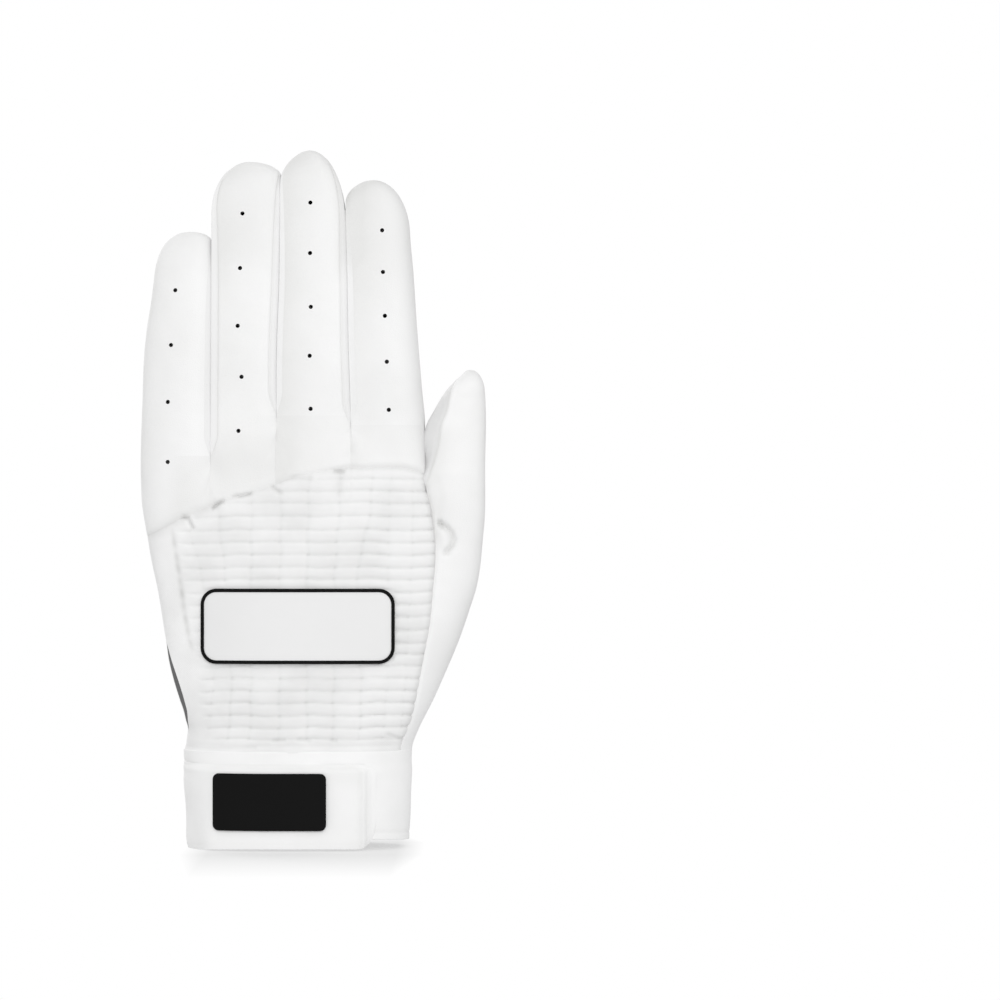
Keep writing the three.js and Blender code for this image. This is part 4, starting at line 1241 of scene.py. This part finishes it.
def onWrist(x, z, lift, base):
    return spots(x, -handDepthAt(x, wrist["height"] + 0 * x, backDepthRows, base + lift), z)


def strapPads():
    low, high = wrist["strapBottom"] + wrist["tapeInset"] + 1.8, wrist["strapTop"] - wrist["tapeInset"]
    height, middleUp = high - low, (low + high) / 2
    for name, length, base, node, body in (
        ("loopPad", wrist["loopLength"], 0.55, "loop_pad", "hand"),
        ("hookPad", wrist["hookLength"] - 5, 1.15, "hook_pad", "strap"),
    ):
        pad = flatPlate(name, length, height, 1.5)
        layPlate(pad, wrist["tapeWall"], 0.15, (wrist["padEnd"] - length / 2, middleUp),
                 lambda x, z, lift, base=base: onWrist(x, z, lift, base))
        fit(pad, tapeMaterial, node, body)
    plate = flatPlate("strapPatch", patch["width"], patch["height"], patch["corner"])
    shares = np.vectorize(wristShare)
    layPlate(plate, patch["wall"], 0.3, patch["centre"],
             lambda x, z, lift: onWrist(x, z, 0, strapLift(shares(x)) + wrist["strapWall"] + 0.1 + lift))
    fit(plate, blackMaterial, "strap_patch", "strap")


strapPads()
print("badge, pads and patch: made")


# Stretch gusset in the slit on the little-finger side, painted dark grey to stand for the shade in the slit
slitSize = {"low": 36, "high": 68.5, "rows": 60, "columns": 14, "wall": 0.8}


def slitGusset():
    z = np.linspace(slitSize["low"], slitSize["high"], slitSize["rows"])[:, None]
    turn = alongShares(slitSize["columns"])
    points = onBack(littleEdge(z) + 0.25 + 6 * turn**2, z + 0 * turn)
    points[..., 1] = turn * (points[..., 1] + 1.7) - 0.2 * (1 - turn)
    cloth = slitSize["wall"], slitShadeMaterial, "gusset_stretch"
    rideHand(sewn([(points, 0)], cloth, "wrist_gusset", "slitGusset"))


slitGusset()
print("slit gusset: made")

# Studio: a floor and a backdrop in one sweep, seen from the front only, and soft light
studio = {
    "floor": 1.2, "back": 130, "reach": 1500, "top": 1400, "turn": 90, "world": 0.772, "bounce": 0.68,
    "matt": 0.3, "glow": 0.545, "shadowFrom": 0.03, "shadowTo": 0.1, "sideFrom": 0.03, "sideTo": 0.0385,
    "key": 6.2, "palm": 5,
}


def seenDirectly(tree):  # 1 where the camera, a reflection or a clear material shows the stage or the world
    path = addNode(tree, "LightPath")
    seen = calc(tree, "MAXIMUM", path.outputs["Is Camera Ray"], path.outputs["Is Glossy Ray"])
    return calc(tree, "MAXIMUM", seen, path.outputs["Is Transmission Ray"])


def stageMaterial():
    material = bpy.data.materials.new("paleStage")
    material.use_nodes = True
    tree = material.node_tree
    tree.nodes.clear()
    matt = addNode(tree, "BsdfDiffuse", Color=grey(studio["matt"])).outputs[0]
    glow, white, bounce = (
        addNode(tree, "Emission", Color=grey(1), Strength=strength).outputs[0]
        for strength in (studio["glow"], 1, studio["bounce"])
    )
    place = addNode(tree, "TexCoord").outputs["Object"]
    place = addNode(tree, "SeparateXYZ", Vector=place).outputs
    along = calc(tree, "MAXIMUM", *(calc(tree, "MULTIPLY", place["Y"], factor) for factor in (-1, 2.2)))
    across = calc(tree, "ABSOLUTE", calc(tree, "SUBTRACT", place["X"], 0.0025))
    fades = []
    for away, ends in ((along, ("shadowFrom", "shadowTo")), (across, ("sideFrom", "sideTo"))):
        start, width = studio[ends[0]], studio[ends[1]] - studio[ends[0]]
        fades.append(calc(tree, "DIVIDE", calc(tree, "SUBTRACT", away, start), width, limited=True))
    fade = calc(tree, "ADD", *fades, limited=True)
    floor = inOrder(tree, "AddShader", (matt, glow))
    shown = inOrder(tree, "MixShader", (fade, floor, white))
    stage = inOrder(tree, "MixShader", (seenDirectly(tree), bounce, shown))
    reverse = addNode(tree, "NewGeometry").outputs["Backfacing"]
    shadow = addNode(tree, "LightPath").outputs["Is Shadow Ray"]
    unseen = calc(tree, "MAXIMUM", reverse, shadow)  # the sweep hides nothing from behind
    clear = addNode(tree, "BsdfTransparent").outputs[0]
    end = addNode(tree, "OutputMaterial").inputs[0]
    feed(tree, end, inOrder(tree, "MixShader", (unseen, stage, clear)))
    return material


def buildStudio():
    bend = np.linspace(0, math.pi / 2, 16)
    turn = studio["turn"]
    y = np.concatenate([[-studio["reach"]], studio["back"] - turn + turn * np.sin(bend), [studio["back"]]])
    z = np.concatenate([[0], turn - turn * np.cos(bend), [studio["top"]]]) + studio["floor"]
    x = np.array([-studio["reach"], studio["reach"]])
    sweep = joined([gridPiece(spots(x[None, :], y[:, None], z[:, None]), 0)], "studioSweep")
    sweep.data.materials.append(stageMaterial())
    smooth(sweep, 60)
    world = bpy.data.worlds.new("studioWorld")
    bpy.context.scene.world = world
    world.use_nodes = True
    tree = world.node_tree
    back = tree.nodes["Background"].inputs
    strength = calc(tree, "MULTIPLY_ADD", seenDirectly(tree), 1 - studio["world"], studio["world"])
    feed(tree, back["Strength"], strength)
    feed(tree, back["Color"], grey(1))
    for name, place, size, power in (
        ("keyLamp", (120, -1350, 500), 0.5, studio["key"]),
        ("palmLamp", (-800, 1050, 700), 0.5, studio["palm"]),
    ):
        data = bpy.data.lights.new(name, "AREA")
        data.shape, data.size, data.energy = "DISK", size, power
        lamp = bpy.data.objects.new(name, data)
        lamp.location = Vector(place) * metre
        aim = Vector((0, 0, 0.11)) - lamp.location
        lamp.rotation_euler = aim.to_track_quat("-Z", "Y").to_euler()
        bpy.context.scene.collection.objects.link(lamp)
    bpy.context.scene.view_settings.view_transform = "Standard"


buildStudio()
print("studio: made")
